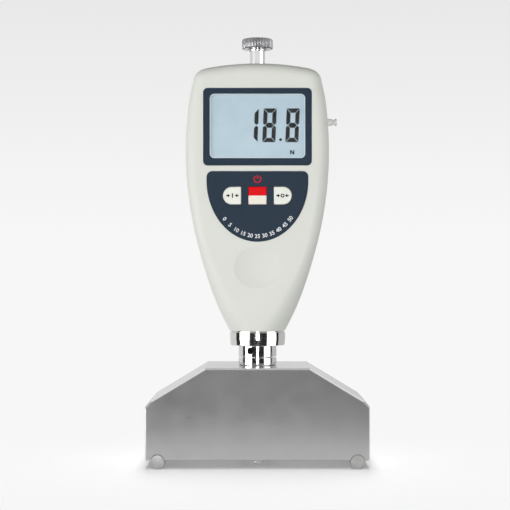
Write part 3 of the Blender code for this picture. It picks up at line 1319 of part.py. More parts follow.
def make_door():
    half = DOOR_OPENING_HALF - EDGE_GAP
    inside = BOX_BACK + SEAT_GAP
    door = box("battery_door", (-half, inside, DOOR_BOTTOM), (half, HOUSING_BACK, DOOR_TOP), "housing_plastic")
    hook_back = BACK_WALL_INSIDE - SEAT_GAP
    root_top, root_back = DOOR_TOP - DOOR_PIVOT_DROP, inside + SINK
    hook_front, hook_top = hook_back - HOOK_THICKNESS, DOOR_OPENING_TOP + HOOK_REACH
    hook = [
        (root_back, root_top),
        (hook_back, root_top),
        (hook_back, hook_top),
        (hook_front, hook_top),
        (hook_front, root_top - HOOK_ROOT),
        (root_back, root_top - HOOK_ROOT),
    ]
    for side, x in (("left", -CELL_PITCH), ("right", CELL_PITCH)):
        join(door, plate(f"hook_{side}", [hook], x - HOOK_WIDTH / 2, x + HOOK_WIDTH / 2, axis="X"))
    across, up, depth = FINGER_NOTCH_WIDTH, FINGER_NOTCH_HEIGHT, FINGER_NOTCH_DEPTH
    level = DOOR_BOTTOM + FINGER_NOTCH_RISE
    cut(door, scoop("finger_notch", across, up, depth, "-Y", HOUSING_BACK, level))
    carried_by("battery_door", DOOR_PIVOT, [door])


def make_housing():
    floor = HOUSING_BOTTOM + HOUSING_FLOOR
    inside = housing_solid("housing_inside", HOUSING_WALL, floor, INNER_EDGE_STEPS)
    leave_bosses(inside)
    make_front_shell(inside)
    make_rear_shell(inside)
    make_case_screws()
    make_strap_stud()


clear_scene()
PIECES = collection_named("screen_tension_meter")
CUTTERS = collection_named("cutters")
CUTTERS.hide_render = True
make_base()
make_stem()
make_feeler()
make_guides()
make_spring()
make_sensor()
make_housing()
make_display()
make_board()
make_keypad()
make_thumb_screw()
make_cells()
make_cell_box()
make_contacts()
make_door()
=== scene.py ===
import bmesh
import bpy
import json
import math
from mathutils import Matrix, Vector


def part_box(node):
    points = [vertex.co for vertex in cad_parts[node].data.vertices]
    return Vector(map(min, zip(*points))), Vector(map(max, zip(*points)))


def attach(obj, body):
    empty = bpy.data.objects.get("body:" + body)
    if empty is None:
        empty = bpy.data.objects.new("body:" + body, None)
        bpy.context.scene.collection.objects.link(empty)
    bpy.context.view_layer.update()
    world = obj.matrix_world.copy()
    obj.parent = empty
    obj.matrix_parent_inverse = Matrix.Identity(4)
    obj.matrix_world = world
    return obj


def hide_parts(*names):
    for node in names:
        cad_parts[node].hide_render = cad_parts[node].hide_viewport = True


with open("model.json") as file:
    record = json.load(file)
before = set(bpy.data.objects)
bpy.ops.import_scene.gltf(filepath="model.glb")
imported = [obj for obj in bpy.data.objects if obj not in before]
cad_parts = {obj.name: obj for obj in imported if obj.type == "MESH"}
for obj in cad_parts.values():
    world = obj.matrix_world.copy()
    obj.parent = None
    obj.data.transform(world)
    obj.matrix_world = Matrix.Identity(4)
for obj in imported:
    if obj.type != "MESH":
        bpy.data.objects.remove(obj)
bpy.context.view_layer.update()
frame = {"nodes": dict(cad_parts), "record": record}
slotOf = {row["node"]: row["material_slot"] for row in frame["record"]["subparts"]}
bodyOf = {node: body for body, nodes in frame["record"]["behaviour"]["bodies"].items() for node in nodes}
mm = 0.001
overrun = mm  # how far a cutter stands out of what it cuts
print("frame loaded:", len(frame["nodes"]), "nodes")


camera = {
    "place": (-1.1 * mm, -600 * mm, 90.9 * mm),
    "lens": 93.25,
    "sensor": 36,
    "lift": 7 / 510,  # the eye level lies a little under the middle of the picture
    "clip": (0.01, 30),
}


def shown(name, data):
    # an object for a mesh, a lamp, a camera or a text, linked to the scene
    thing = bpy.data.objects.new(name, data)
    bpy.context.scene.collection.objects.link(thing)
    return thing


def setCamera():
    data = bpy.data.cameras.new("productCamera")
    data.lens = camera["lens"]
    data.sensor_width = camera["sensor"]
    data.shift_y = camera["lift"]
    data.clip_start, data.clip_end = camera["clip"]
    eye = shown("productCamera", data)
    eye.location = camera["place"]
    eye.rotation_euler = (math.radians(90), 0, 0)
    bpy.context.scene.camera = eye
    bpy.context.scene.view_settings.view_transform = "Standard"


setCamera()
print("camera set")


class Wire:
    # one socket of a node tree, with the sums that the finishes need
    def __init__(self, tree, socket):
        self.tree = tree
        self.socket = socket

    def beside(self, name):
        # another output of the same node
        return Wire(self.tree, self.socket.node.outputs[name])

    def sum(self, operation, *terms, clamp=False):
        node = self.tree.nodes.new("ShaderNodeMath")
        node.operation = operation
        node.use_clamp = clamp
        for entry, term in zip(node.inputs, terms):
            if isinstance(term, Wire):
                self.tree.links.new(term.socket, entry)
            else:
                entry.default_value = term
        return Wire(self.tree, node.outputs[0])

    def __add__(self, other):
        return self.sum("ADD", self, other)

    def __radd__(self, other):
        return self.sum("ADD", other, self)

    def __sub__(self, other):
        return self.sum("SUBTRACT", self, other)

    def __rsub__(self, other):
        return self.sum("SUBTRACT", other, self)

    def __mul__(self, other):
        return self.sum("MULTIPLY", self, other)

    def __rmul__(self, other):
        return self.sum("MULTIPLY", other, self)

    def __truediv__(self, other):
        return self.sum("DIVIDE", self, other)

    def __rtruediv__(self, other):
        return self.sum("DIVIDE", other, self)

    def __pow__(self, other):
        return self.sum("POWER", self, other)

    def __rpow__(self, other):
        return self.sum("POWER", other, self)

    def size(self):
        return self.sum("ABSOLUTE", self)

    def over(self, edge):
        return self.sum("GREATER_THAN", self, edge)

    def ramp(self, low, high):
        # 0 at low, 1 at high, held at both ends
        return self.sum("MULTIPLY", self - low, 1 / (high - low), clamp=True)


class Tree:
    # a node tree, with the one method that makes its nodes
    def __init__(self, tree):
        self.tree = tree

    def node(self, kind, settings=None, sockets=None, out=0):
        node = self.tree.nodes.new(kind)
        for name, value in (settings or {}).items():
            setattr(node, name, value)
        for name, value in (sockets or {}).items():
            self.feed(node.inputs[name], value)
        return Wire(self.tree, node.outputs[out])

    def feed(self, entry, value):
        if isinstance(value, Wire):
            self.tree.links.new(value.socket, entry)
        elif entry.type == "RGBA" and len(value) == 3:
            entry.default_value = (*value, 1)
        else:
            entry.default_value = value

    def mixed(self, share, first, second):
        return self.node("ShaderNodeMix", {"data_type": "RGBA"}, {0: share, 6: first, 7: second}, 2)

    def place(self, kind="Object"):
        return self.node("ShaderNodeTexCoord", out=kind)

    def axes(self, kind="Object"):
        across = self.node("ShaderNodeSeparateXYZ", sockets={0: self.place(kind)})
        return across, across.beside(1), across.beside(2)

    def shows(self):
        # 1 for the rays that see the pale background, 0 for the ones that only carry light
        seen = self.node("ShaderNodeLightPath", out="Is Camera Ray")
        rays = seen + seen.beside("Is Glossy Ray") + seen.beside("Is Transmission Ray")
        return rays.sum("MINIMUM", rays, 1)

    def noise(self, grain, detail=2.0, rough=0.5, stretch=(1, 1, 1), shift=(0, 0, 0)):
        # grain is the size of the spots in metres
        sockets = {"Vector": self.place(), "Scale": stretch, "Location": shift}
        scaled = self.node("ShaderNodeMapping", sockets=sockets)
        sockets = {"Vector": scaled, "Scale": 1 / grain, "Detail": detail, "Roughness": rough}
        return self.node("ShaderNodeTexNoise", sockets=sockets)


finishes = {}


class Finish(Tree):
    # a material: plain values go on the shader, the rest is wired to it
    def __init__(self, name, colour, rough, metal=0.0, **plain):
        self.material = bpy.data.materials.new(name)
        self.material.use_nodes = True
        super().__init__(self.material.node_tree)
        self.shader = self.tree.nodes["Principled BSDF"]
        self.shade(colour, rough, Metallic=metal, **plain)
        finishes[name] = self

    def shade(self, colour=None, rough=None, **others):
        given = {"Base Color": colour, "Roughness": rough}
        given.update({name.replace("_", " "): value for name, value in others.items()})
        for name, value in given.items():
            if value is not None:
                self.feed(self.shader.inputs[name], value)

    def relief(self, height, depth, strength=1.0):
        kind = {"Height": height, "Distance": depth, "Strength": strength}
        self.shade(Normal=self.node("ShaderNodeBump", sockets=kind))


def srgb(*levels):
    # the linear colour of an ordinary 0 to 255 one
    return tuple(((v / 255 + 0.055) / 1.055) ** 2.4 if v > 10 else v / 255 / 12.92 for v in levels)


def toned(colour, share):
    return tuple(min(value * share, 1.0) for value in colour)


def mouldedPlastic(name, colour, rough, grain=0.35, depth=0.012, mottle=0.035, dust=0.03, **plain):
    # spark-eroded grain, faint clouds in the colour, a little dust in the low spots
    made = Finish(name, colour, rough, **plain)
    clouds = made.noise(14 * mm, 3, 0.6)
    specks = made.noise(grain * mm, 1.5)
    fine = made.noise(grain * 0.4 * mm, 2, shift=(3, 1, 2))
    warm = made.mixed(clouds.ramp(0.3, 0.7) * mottle * 8, colour, toned(colour, 1 - mottle))
    dusty = made.mixed(specks.ramp(0.62, 0.8) * dust * 4, warm, toned(colour, 0.8))
    made.shade(dusty, rough + (clouds - 0.5) * 0.12 + (fine - 0.5) * 0.1)
    made.relief(specks + fine * 0.4, depth * mm)
    return dusty


def printedFilm(name, colour, rough=0.42):
    # polyester film: a very fine orange peel, faint rubbing, ink slightly uneven
    made = Finish(name, colour, rough, Specular_IOR_Level=0.1)
    peel = made.noise(0.22 * mm, 2)
    rubbed = made.noise(3 * mm, 4, 0.7, (1, 1, 0.35))
    ink = made.mixed(rubbed.ramp(0.35, 0.75) * 0.35, colour, toned(colour, 1.18))
    made.shade(ink, rough + (rubbed - 0.5) * 0.2)
    made.relief(peel, 0.004 * mm)


def turnedMetal(name, colour, rough, lines=0.12, depth=0.002, tarnish=0.1, axis=2):
    # fine turning lines round the axis, finger marks that dull the shine
    made = Finish(name, colour, rough, 1.0)
    stretch = [0.02, 0.02, 0.02]
    stretch[axis] = 1
    turning = made.noise(lines * mm, 3, 0.6, tuple(stretch))
    dull = made.noise(5 * mm, 4, 0.65).ramp(0.45, 0.75)
    tone = made.mixed(dull * tarnish, colour, toned(colour, 0.8))
    made.shade(tone, rough + dull * rough * 0.9 + (turning - 0.5) * rough * 0.5)
    made.relief(turning, depth * mm, 0.6)


def blastedMetal(name, colour, rough, depth=0.006):
    # bead-blasted and anodised: even fine pits, soft clouds, a few thin scratches
    made = Finish(name, colour, rough, 1.0)
    pits = made.noise(0.16 * mm, 2)
    clouds = made.noise(11 * mm, 4, 0.6)
    scratch = made.noise(0.5 * mm, 1, 0.5, (0.06, 1, 1), (5, 2, 0)).ramp(0.74, 0.8)
    tone = made.mixed(clouds.ramp(0.3, 0.7) * 0.5, toned(colour, 0.95), toned(colour, 1.05))
    bare = made.mixed(scratch * 0.35, tone, toned(colour, 1.5))
    made.shade(bare, rough + (clouds - 0.5) * 0.12 - scratch * 0.1)
    made.relief(pits - scratch * 0.5, depth * mm)


def printInk(name, colour, rough=0.5):
    # a thin print with a slightly uneven edge
    made = Finish(name, colour, rough, Specular_IOR_Level=0.1)
    edge = made.noise(0.25 * mm, 3, 0.7)
    made.shade(made.mixed(edge.ramp(0.45, 0.8) * 0.3, colour, toned(colour, 0.85)), rough + edge * 0.1)
    made.relief(edge, 0.003 * mm)


def makeCommonFinishes():
    mouldedPlastic("housing_plastic", srgb(226, 228, 221), 0.5, 0.42, 0.02, Specular_IOR_Level=0.25)
    mouldedPlastic("holder_white", srgb(228, 228, 222), 0.6)
    mouldedPlastic("stud_grey", srgb(238, 238, 235), 0.42)
    mouldedPlastic("switch_black", srgb(34, 34, 36), 0.5, mottle=0.1)
    mouldedPlastic("chip_black", srgb(30, 30, 31), 0.55, 0.15, 0.01, 0.1)
    mouldedPlastic("key_ivory", srgb(238, 240, 230), 0.38, 0.3, 0.006, 0.02, 0.015, Specular_IOR_Level=0.3)
    mouldedPlastic("contact_rubber", srgb(128, 98, 108), 0.75, 0.2, 0.02, 0.1)
    printedFilm("film_navy", srgb(33, 50, 66))
    turnedMetal("bright_chrome", srgb(234, 234, 232), 0.08)
    turnedMetal("tube_steel", srgb(214, 214, 213), 0.24, 0.08, 0.003)
    turnedMetal("screw_steel", srgb(84, 84, 86), 0.38, 0.1, 0.003, 0.4)
    turnedMetal("rod_steel", srgb(156, 156, 155), 0.42, 0.1, 0.003, 0.3, 1)
    # steel toned down so that the feeler paints into the shade under the base
    turnedMetal("feeler_steel_painted_shade", srgb(184, 184, 185), 0.4, 0.1, 0.003, 0.3)
    turnedMetal("knurled_chrome", srgb(160, 160, 163), 0.2, 0.1, 0.002, 0.2)
    # black oxide, also dark to paint the shade in the clamp screw's hole
    turnedMetal("socket_black_and_painted_shade", srgb(30, 30, 31), 0.5, 0.1, 0.002, 0.2)
    turnedMetal("bush_brass", srgb(214, 184, 112), 0.3, 0.1, 0.003, 0.5)
    turnedMetal("contact_nickel", srgb(206, 203, 196), 0.3, 0.2, 0.002, 0.3)
    turnedMetal("winding_copper", srgb(190, 112, 66), 0.35, 0.16, 0.02, 0.4)
    # near-white bare metal for the upper chamfers: partly their own cut finish, partly a painted highlight
    # of the light they catch
    turnedMetal("chamfer_bare_and_painted_highlight", srgb(236, 236, 238), 0.3, 0.3, 0.001, 0.1)
    blastedMetal("base_aluminium", srgb(196, 196, 197), 0.33)
    # lighter than the blasted metal: partly a milled finish, partly painted sheen on faces that look up and
    # a painted highlight along the lower edges
    blastedMetal("base_milled_and_painted_sheen", srgb(203, 203, 204), 0.24, 0.001)
    printInk("segment_ink", srgb(12, 16, 22), 0.35)
    printInk("white_print", srgb(236, 238, 240))
    printInk("red_print", srgb(206, 34, 48))
    printInk("black_print", srgb(20, 20, 22))
    # pale ring round the window: a painted highlight of its edge
    printInk("window_rim", srgb(222, 232, 238), 0.4)


def makeSpecialFinishes():
    red, ivory, split = srgb(233, 18, 28), srgb(249, 242, 229), 120.35 * mm
    painted = mouldedPlastic("key_red", red, 0.42, 0.3, 0.006, 0.02, 0.015, Specular_IOR_Level=0.04)
    twoTone = finishes["key_red"]
    twoTone.shade(twoTone.mixed(1 - twoTone.axes()[2].over(split), painted, ivory))

    window = Finish("window_clear", srgb(60, 68, 72), 0.12)
    smear = window.noise(6 * mm, 4, 0.6).ramp(0.4, 0.8)
    window.shade(rough=0.12 + smear * 0.15, Alpha=0.035 + smear * 0.02)

    glass = Finish("lcd_glass", srgb(196, 219, 232), 0.3, Specular_IOR_Level=0.2)
    cloth = glass.noise(9 * mm, 2)
    dots = glass.noise(0.1 * mm, 1)
    tint = glass.mixed(cloth.ramp(0.3, 0.7) * 0.5, srgb(194, 218, 231), srgb(199, 221, 233))
    glass.shade(glass.mixed(dots.ramp(0.4, 0.7) * 0.1, tint, srgb(184, 210, 225)), 0.28 + dots * 0.1)
    glass.relief(dots, 0.001 * mm)

    board = Finish("board_green", srgb(26, 98, 58), 0.35)
    across = board.axes()[0] / (1.2 * mm)
    tracks = (across.sum("FRACT", across) - 0.5).size().over(0.36)
    rows = board.noise(2.6 * mm, 0, 0.5, (1, 1, 0.3)).over(0.5)
    traced = board.mixed(tracks * rows * 0.6, srgb(26, 98, 58), srgb(44, 122, 72))
    board.shade(traced, 0.3 + board.noise(0.6 * mm, 2) * 0.15)
    board.relief(tracks * rows, 0.03 * mm)

    ferrite = Finish("core_ferrite", srgb(66, 64, 62), 0.6, 0.3)
    grit = ferrite.noise(0.12 * mm, 3, 0.7)
    ferrite.shade(ferrite.mixed(grit, srgb(52, 50, 49), srgb(84, 82, 80)), 0.5 + grit * 0.2)
    ferrite.relief(grit, 0.02 * mm)

    jacket = Finish("cell_jacket", srgb(84, 104, 130), 0.32)
    middle, bareFrom = 139.2 * mm, 20.7 * mm
    ends = (jacket.axes()[2] - middle).size().over(bareFrom)
    creases = jacket.noise(1.4 * mm, 3, 0.6, (1, 1, 0.2))
    wrap = jacket.mixed(creases.ramp(0.4, 0.8) * 0.5, srgb(80, 100, 126), srgb(98, 118, 142))
    jacket.shade(jacket.mixed(ends, wrap, srgb(196, 196, 194)), 0.3 + creases * 0.15, Metallic=ends)
    jacket.relief(creases, 0.03 * mm)


makeCommonFinishes()
makeSpecialFinishes()
print("finishes made:", len(finishes))

# the CAD pieces keep their slot's finish, but for these: the clamp screw is black oxide, dark also to paint
# the shade in its hole; the feeler is toned down from bright steel to paint it into the shade under the base
darker = {"clamp_screw": "socket_black_and_painted_shade", "feeler_rod": "feeler_steel_painted_shade", "feeler_holder": "feeler_steel_painted_shade"}
for name, node in frame["nodes"].items():
    node.data.materials.clear()
    node.data.materials.append(finishes[darker.get(name, slotOf[name])].material)


def millimetres(points):
    return [tuple(value * mm for value in point) for point in points]


def rounded(points, radius, steps=3, closed=False):
    # a line through the points, each corner replaced by a small curve
    made = []
    count = len(points)
    for index, point in enumerate(points):
        if not closed and index in (0, count - 1):
            made.append(tuple(point))
            continue
        before, here, after = Vector(points[index - 1]), Vector(point), Vector(points[(index + 1) % count])
        toBefore, toAfter = before - here, after - here
        reach = min(radius, toBefore.length * 0.45, toAfter.length * 0.45)
        start, end = here + toBefore.normalized() * reach, here + toAfter.normalized() * reach
        for step in range(steps + 1):
            t = step / steps
            made.append(tuple(start * (1 - t) ** 2 + here * 2 * t * (1 - t) + end * t * t))
    return made


def arc(middle, radius, start, end, steps):
    turns = [math.radians(start + (end - start) * step / steps) for step in range(steps + 1)]
    return [(middle[0] + radius * math.cos(turn), middle[1] + radius * math.sin(turn)) for turn in turns]


# how a turned shape is laid along an axis
spins = {
    "Z": Matrix(),
    "X": Matrix.Rotation(math.pi / 2, 4, "Y"),
    "Y": Matrix.Rotation(-math.pi / 2, 4, "X"),
}


def outward(shape):
    shape.normal_update()
    bmesh.ops.recalc_face_normals(shape, faces=shape.faces)
    return shape


def bridged(shape, rings):
    # faces between rings that have as many corners each
    for ring, after in zip(rings, rings[1:]):
        for index in range(len(ring)):
            shape.faces.new((ring[index - 1], ring[index], after[index], after[index - 1]))


def lathe(profile, sides=96, axis="Z", middle=(0, 0, 0)):
    # turns (radius, height) pairs, listed down the outer side, round the axis
    shape = bmesh.new()
    turns = [2 * math.pi * side / sides for side in range(sides)]
    rings = []
    for radius, height in profile:
        ring = [(radius * math.cos(t), radius * math.sin(t), height) for t in turns]
        rings.append([shape.verts.new(place) for place in (ring if radius > 0 else ring[:1])])
    if profile[0][0] > 0:
        rings.append(rings[0])
    for high, low in zip(rings, rings[1:]):
        for side in range(sides):
            after = (side + 1) % sides
            corners = []
            for ring, index in ((high, side), (low, side), (low, after), (high, after)):
                corner = ring[index % len(ring)]
                if corner not in corners:
                    corners.append(corner)
            if len(corners) > 2:
                shape.faces.new(corners)
    shape.transform(Matrix.Translation(middle) @ spins[axis])
    return outward(shape)


def slab(outlines, near, far):
    # a plate across Y from (x, z) outlines, the first one outside, the others holes
    shape = bmesh.new()
    edges = []
    for outline in outlines:
        line = [shape.verts.new((x, near, z)) for x, z in outline]
        edges += [shape.edges.new((line[index - 1], line[index])) for index in range(len(line))]
    bmesh.ops.triangle_fill(shape, edges=edges, use_beauty=True)
    bmesh.ops.dissolve_limit(shape, angle_limit=0.01, verts=shape.verts, edges=shape.edges)
    pushed = bmesh.ops.extrude_face_region(shape, geom=list(shape.faces))["geom"]
    moved = [part for part in pushed if isinstance(part, bmesh.types.BMVert)]
    bmesh.ops.translate(shape, vec=(0, far - near, 0), verts=moved)
    return outward(shape)


def block(low, high):
    shape = bmesh.new()
    bmesh.ops.create_cube(shape, size=1)
    middle = (Vector(low) + Vector(high)) / 2
    size = Vector(high) - Vector(low)
    shape.transform(Matrix.Translation(middle) @ Matrix.Diagonal((*size, 1)))
    return shape


def asMesh(name, shape):
    mesh = bpy.data.meshes.new(name)
    shape.to_mesh(mesh)
    shape.free()
    return mesh


def asShape(tool):
    # what the tool's modifiers make of it, as a bmesh, the tool then thrown away
    bpy.context.view_layer.update()
    result = tool.evaluated_get(bpy.context.evaluated_depsgraph_get())
    shape = bmesh.new()
    shape.from_mesh(result.to_mesh())
    result.to_mesh_clear()
    bpy.data.objects.remove(tool)
    return shape


def joined(shapes):
    # several shapes side by side in one mesh
    whole = bmesh.new()
    for shape in shapes:
        mesh = asMesh("part", shape)
        whole.from_mesh(mesh)
        bpy.data.meshes.remove(mesh)
    return whole


def carved(shape, cutters, how="DIFFERENCE"):
    tool = shown("tool", asMesh("tool", shape))
    others = [shown("cutter", asMesh("cutter", cutter)) for cutter in cutters]
    for other in others:
        step = tool.modifiers.new("carve", "BOOLEAN")
        step.operation = how
        step.solver = "EXACT"
        step.object = other
    made = asShape(tool)
    for other in others:
        bpy.data.objects.remove(other)
    return made


def softened(shape, width, steps=2, angle=35):
    tool = shown("tool", asMesh("tool", shape))
    step = tool.modifiers.new("soft", "BEVEL")
    step.width = width
    step.segments = steps
    step.limit_method = "ANGLE"
    step.angle_limit = math.radians(angle)
    step.use_clamp_overlap = True
    step.miter_outer = "MITER_ARC"
    return asShape(tool)


def addPiece(name, shape, finish, node=None, body="root", crease=30, weighted=True):
    # node is the CAD piece that it stands in for, whose body it takes over and which it hides
    bmesh.ops.remove_doubles(shape, verts=shape.verts, dist=0.000001)
    mesh = asMesh(name, shape)
    mesh.shade_smooth()
    mesh.set_sharp_from_angle(angle=math.radians(crease))
    piece = shown(name, mesh)
    if weighted:
        step = piece.modifiers.new("even", "WEIGHTED_NORMAL")
        step.keep_sharp = True
        step.weight = 100
    for each in [finish] if isinstance(finish, str) else finish:
        mesh.materials.append(finishes[each].material)
    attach(piece, bodyOf[node] if node else body)
    if node:
        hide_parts(node)


base = {
    "width": 98.6 * mm,
    "depth": 42 * mm,
    "bottom": 3.8 * mm,
    "top": 44.3 * mm,
    "topWidth": 46.2 * mm,
    "slantHeight": 14.35 * mm,
    "cornerWidth": 2.4 * mm,
    "cornerHeight": 2.6 * mm,
    "bevel": 0.75 * mm,
    "lowBevel": 0.36 * mm,
    "rodRadius": 3.175 * mm,
    "rodPlace": 44.0 * mm,
    "rodEdge": 0.3 * mm,
    "rodRim": 0.85 * mm,
    "rodGap": 0.12 * mm,
    "rimDepth": 0.3 * mm,
    # radius and height of the bore in millimetres, from the top down
    "bore": ((0, 46), (8, 46), (8, 33.5), (6.3, 33.5), (6.3, 25), (2.6, 25), (2.6, 12), (0, 12)),
    "pocketRoom": ((2, 2, 3), (2, 2, 4)),  # round the feeler's holder, below and above, in millimetres
    "screwRoom": 0.3 * mm,
    "screwHole": (6 * mm, 24 * mm),
}


def baseOutline(inset, lowInset):
    # the top, the slant and the corner step in further than the sides and the foot
    half, foot = base["width"] / 2, base["top"] - base["slantHeight"]
    slantRun, slantFall = half - base["cornerWidth"] - base["topWidth"] / 2, base["slantHeight"]
    length = math.hypot(slantRun, slantFall)
    side, low, high = half - lowInset, base["bottom"] + lowInset, base["top"] - inset
    # the slant line moved inwards by the inset
    topX = base["topWidth"] / 2 - inset * length / slantFall + inset * slantRun / slantFall
    run, fall = base["cornerWidth"], base["cornerHeight"]
    cornerX = half - run - inset * math.hypot(run, fall) / fall
    # the corner facet and the slant line meet, and the facet meets the side
    turn = slantFall * run - slantRun * fall
    t = ((high - foot) * run - (cornerX - topX) * fall) / turn
    meetX, meetZ = topX + slantRun * t, high - slantFall * t
    sideZ = meetZ - fall / run * (side - meetX)
    right = [(side, low), (side, sideZ), (meetX, meetZ), (topX, high)]
    return right + [(-x, z) for x, z in reversed(right)]


def makeBase():
    # rings from the back face to the front face, the chamfers between them
    half, bevel, low = base["depth"] / 2, base["bevel"], base["lowBevel"]
    # inwards from either face, and how far the upper and the lower edges step in there
    steps = [(0, bevel, low), (low * 0.15, bevel * 0.93, low * 0.7)]
    steps += [(bevel * 0.93, bevel * 0.06, 0), (bevel, 0, 0)]
    levels = [(half - inwards, *insets) for inwards, *insets in steps]
    levels += [(inwards - half, *insets) for inwards, *insets in reversed(steps)]
    shape = bmesh.new()
    rings = [[shape.verts.new((x, y, z)) for x, z in baseOutline(*insets)] for y, *insets in levels]
    shape.faces.new(rings[0])
    shape.faces.new(rings[-1])
    bridged(shape, rings)
    bmesh.ops.recalc_face_normals(shape, faces=shape.faces)
    cutters = []
    radius, end = base["rodRadius"], half
    for x in (-base["rodPlace"], base["rodPlace"]):
        groove, rim = radius + base["rodGap"], radius + base["rodRim"]
        inner, outer = half - base["rimDepth"], half + overrun
        line = [(0, outer), (rim, outer), (rim, inner), (groove, inner)]
        line += [(reach, -y) for reach, y in reversed(line)]
        cutters.append(lathe(line, 64, "Y", (x, 0, radius)))
    cutters.append(lathe(millimetres(base["bore"]), 64))
    below, above = [Vector(room) for room in millimetres(base["pocketRoom"])]
    low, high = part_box("feeler_holder")
    cutters.append(block(low - below, high + above))
    low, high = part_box("base_set_screw")
    reach, (deep, out) = (high.x - low.x) / 2 + base["screwRoom"], base["screwHole"]
    line = [(0, out), (reach, out), (reach, deep), (0, deep)]
    cutters.append(lathe(line, 48, "Y", (0, 0, (low.z + high.z) / 2)))
    cut = carved(shape, cutters)
    for face in cut.faces:
        # bare chamfers above, made lighter to paint the highlight they catch; milled top, slants and lower
        # edges, lighter and smoother, which paints the sheen of faces that look up and the highlight line of
        # the lower edges; the rest blasted
        middle, away = face.calc_center_median(), face.normal
        onEdge = abs(middle.y) > half - bevel * 1.05 and abs(away.y) < 0.95
        high = middle.z > base["top"] - base["slantHeight"] - bevel and away.z > 0.2
        low = middle.z < base["bottom"] + mm and onEdge
        if onEdge and high and abs(away.y) > 0.3 and abs(away.x) > 0.15:
            face.material_index = 1
        elif low or away.z > 0.5:
            face.material_index = 2
        else:
            face.material_index = 0
    addPiece("base_body", cut, ["base_aluminium", "chamfer_bare_and_painted_highlight", "base_milled_and_painted_sheen"], "base_block", crease=20)
    line = rounded([(0, end), (radius, end), (radius, -end), (0, -end)], base["rodEdge"])
    for side, x in (("left", -base["rodPlace"]), ("right", base["rodPlace"])):
        rod = lathe(line, 64, "Y", (x, 0, radius))
        addPiece(f"hard_rod_{side}", rod, "rod_steel", f"support_rod_{side}")
    print("base made")


makeBase()


stem = {
    # radius and height in millimetres, round each ring
    "foot": ((6.3, 34.1), (6.3, 47.9), (8.65, 47.9), (8.65, 44.6), (7.7, 44.6), (7.7, 34.1)),
    "ring": ((6.3, 53.1), (8.65, 53.1), (8.65, 48.2), (6.3, 48.2)),
    "collar": (
        (6.3, 65.4), (10.5, 65.4), (10.5, 63.9), (9, 63.9), (9, 59.95), (12, 59.95),
        (12, 59.4), (12.6, 59.4), (12.6, 56.1), (12.35, 53.4), (6.3, 53.4),
    ),
    "edge": 0.28 * mm,
    "collarEdge": 0.196 * mm,
    "screwTurn": 22,
    "screwLevel": 51.0 * mm,
    # the hole for the clamp screw, from its mouth inwards
    "screwHole": ((0, 12), (5.15, 12), (1.55, 8.42), (1.55, 5), (0, 5)),
}


def makeStem():
    foot, ring = [rounded(millimetres(stem[name]), stem["edge"], closed=True) for name in ("foot", "ring")]
    addPiece("stem_foot", lathe(foot, 128), "bright_chrome", "base_adapter")
    turned = Matrix.Rotation(-math.radians(stem["screwTurn"]), 4, "Z") @ Matrix.Rotation(math.pi / 2, 4, "X")
    well = lathe(millimetres(stem["screwHole"]), 48)
    well.transform(Matrix.Translation((0, 0, stem["screwLevel"])) @ turned)
    addPiece("stem_ring", carved(lathe(ring, 128), [well]), "bright_chrome", "stem_sleeve")
    collar = rounded(millimetres(stem["collar"]), stem["collarEdge"], closed=True)
    addPiece("stem_collar_ring", lathe(collar, 128), "bright_chrome", "stem_collar")
    print("stem made")


makeStem()


housing = {
    "width": 65 * mm,
    "depth": 28 * mm,
    "bottom": 60.0 * mm,
    "height": 119.67 * mm,
    "collarRadius": 12.6 * mm,
    # shares of the height, and of the width there, above the collar
    "levels": (0.0, 0.09, 0.185, 0.28, 0.37, 0.46, 0.55, 0.645, 0.75, 0.86, 0.94),
    "widths": (0.543, 0.672, 0.776, 0.861, 0.923, 0.964, 0.984, 0.976, 0.938, 0.878),
    "crownWidth": 45 * mm,
    "crownRise": 2.1 * mm,
    "cornerLean": 0.7 * mm,
    "edge": 5 * mm,
    "neck": 16 * mm,
    "flare": 40 * mm,
    "flarePower": 1.5,
    "round": 0.97,
    "steps": (84, 14, 18),  # up the side, round the corner and over the crown
    "wall": 2.2 * mm,
    "floor": 3.6 * mm,
    "seam": 0.3 * mm,
    "seamGap": 0.01 * mm,
    "filmRecess": 0.85 * mm,
    "frontWall": 3.2 * mm,
    "doorRecess": 3.5 * mm,
    "around": (40 * mm, 50 * mm, 190 * mm),  # half across, low and high of a plate past all of it
    # all in millimetres: the block that holds the top bush, the screws' places and columns,
    # their holes in the back, and the holes for the stem, the thumb screw and the stud
    "bushBlock": ((-7.5, -7.5, 168.8), (7.5, 7.5, 181.2)),
    "screws": ((-22.5, 171.5), (22.5, 171.5), (-13.5, 84.0), (13.5, 84.0)),
    "column": ((0, 14.5), (4, 14.5), (4, 0), (2.7, 0), (2.7, -14.5), (0, -14.5)),
    "screwHole": ((0, 15), (2.8, 15), (2.8, 10), (1.5, 10), (1.5, -2), (0, -2)),
    "holes": ((9.3, 55, 66, "Z", 0, 64), (3.7, 160, 184, "Z", 0, 64), (1.85, 26, 40, "X", 154.3, 48)),
}
display = {"width": 48.2 * mm, "height": 34.4 * mm, "middle": 150.95 * mm, "corner": 2 * mm}
window = {"width": 42.4 * mm, "height": 28.6 * mm, "middle": 151.3 * mm, "corner": 2 * mm, "lip": 0.35 * mm}
keypad = {
    "width": 45.15 * mm,
    "top": 131.2 * mm,
    "shoulder": 4.2 * mm,
    "curve": 27.1 * mm,
    "corner": 2.5 * mm,
}
key = {
    "width": 7.9 * mm,
    "height": 7.8 * mm,
    "middle": 120.35 * mm,
    "corner": 0.4 * mm,
    "spacing": 11.25 * mm,
    "front": -14.25 * mm,
    "soft": 0.28 * mm,
    "flange": 0.8 * mm,
    "flangeFront": -11.5 * mm,
    "wellGap": 0.35 * mm,
    "filmGap": 0.14 * mm,
}
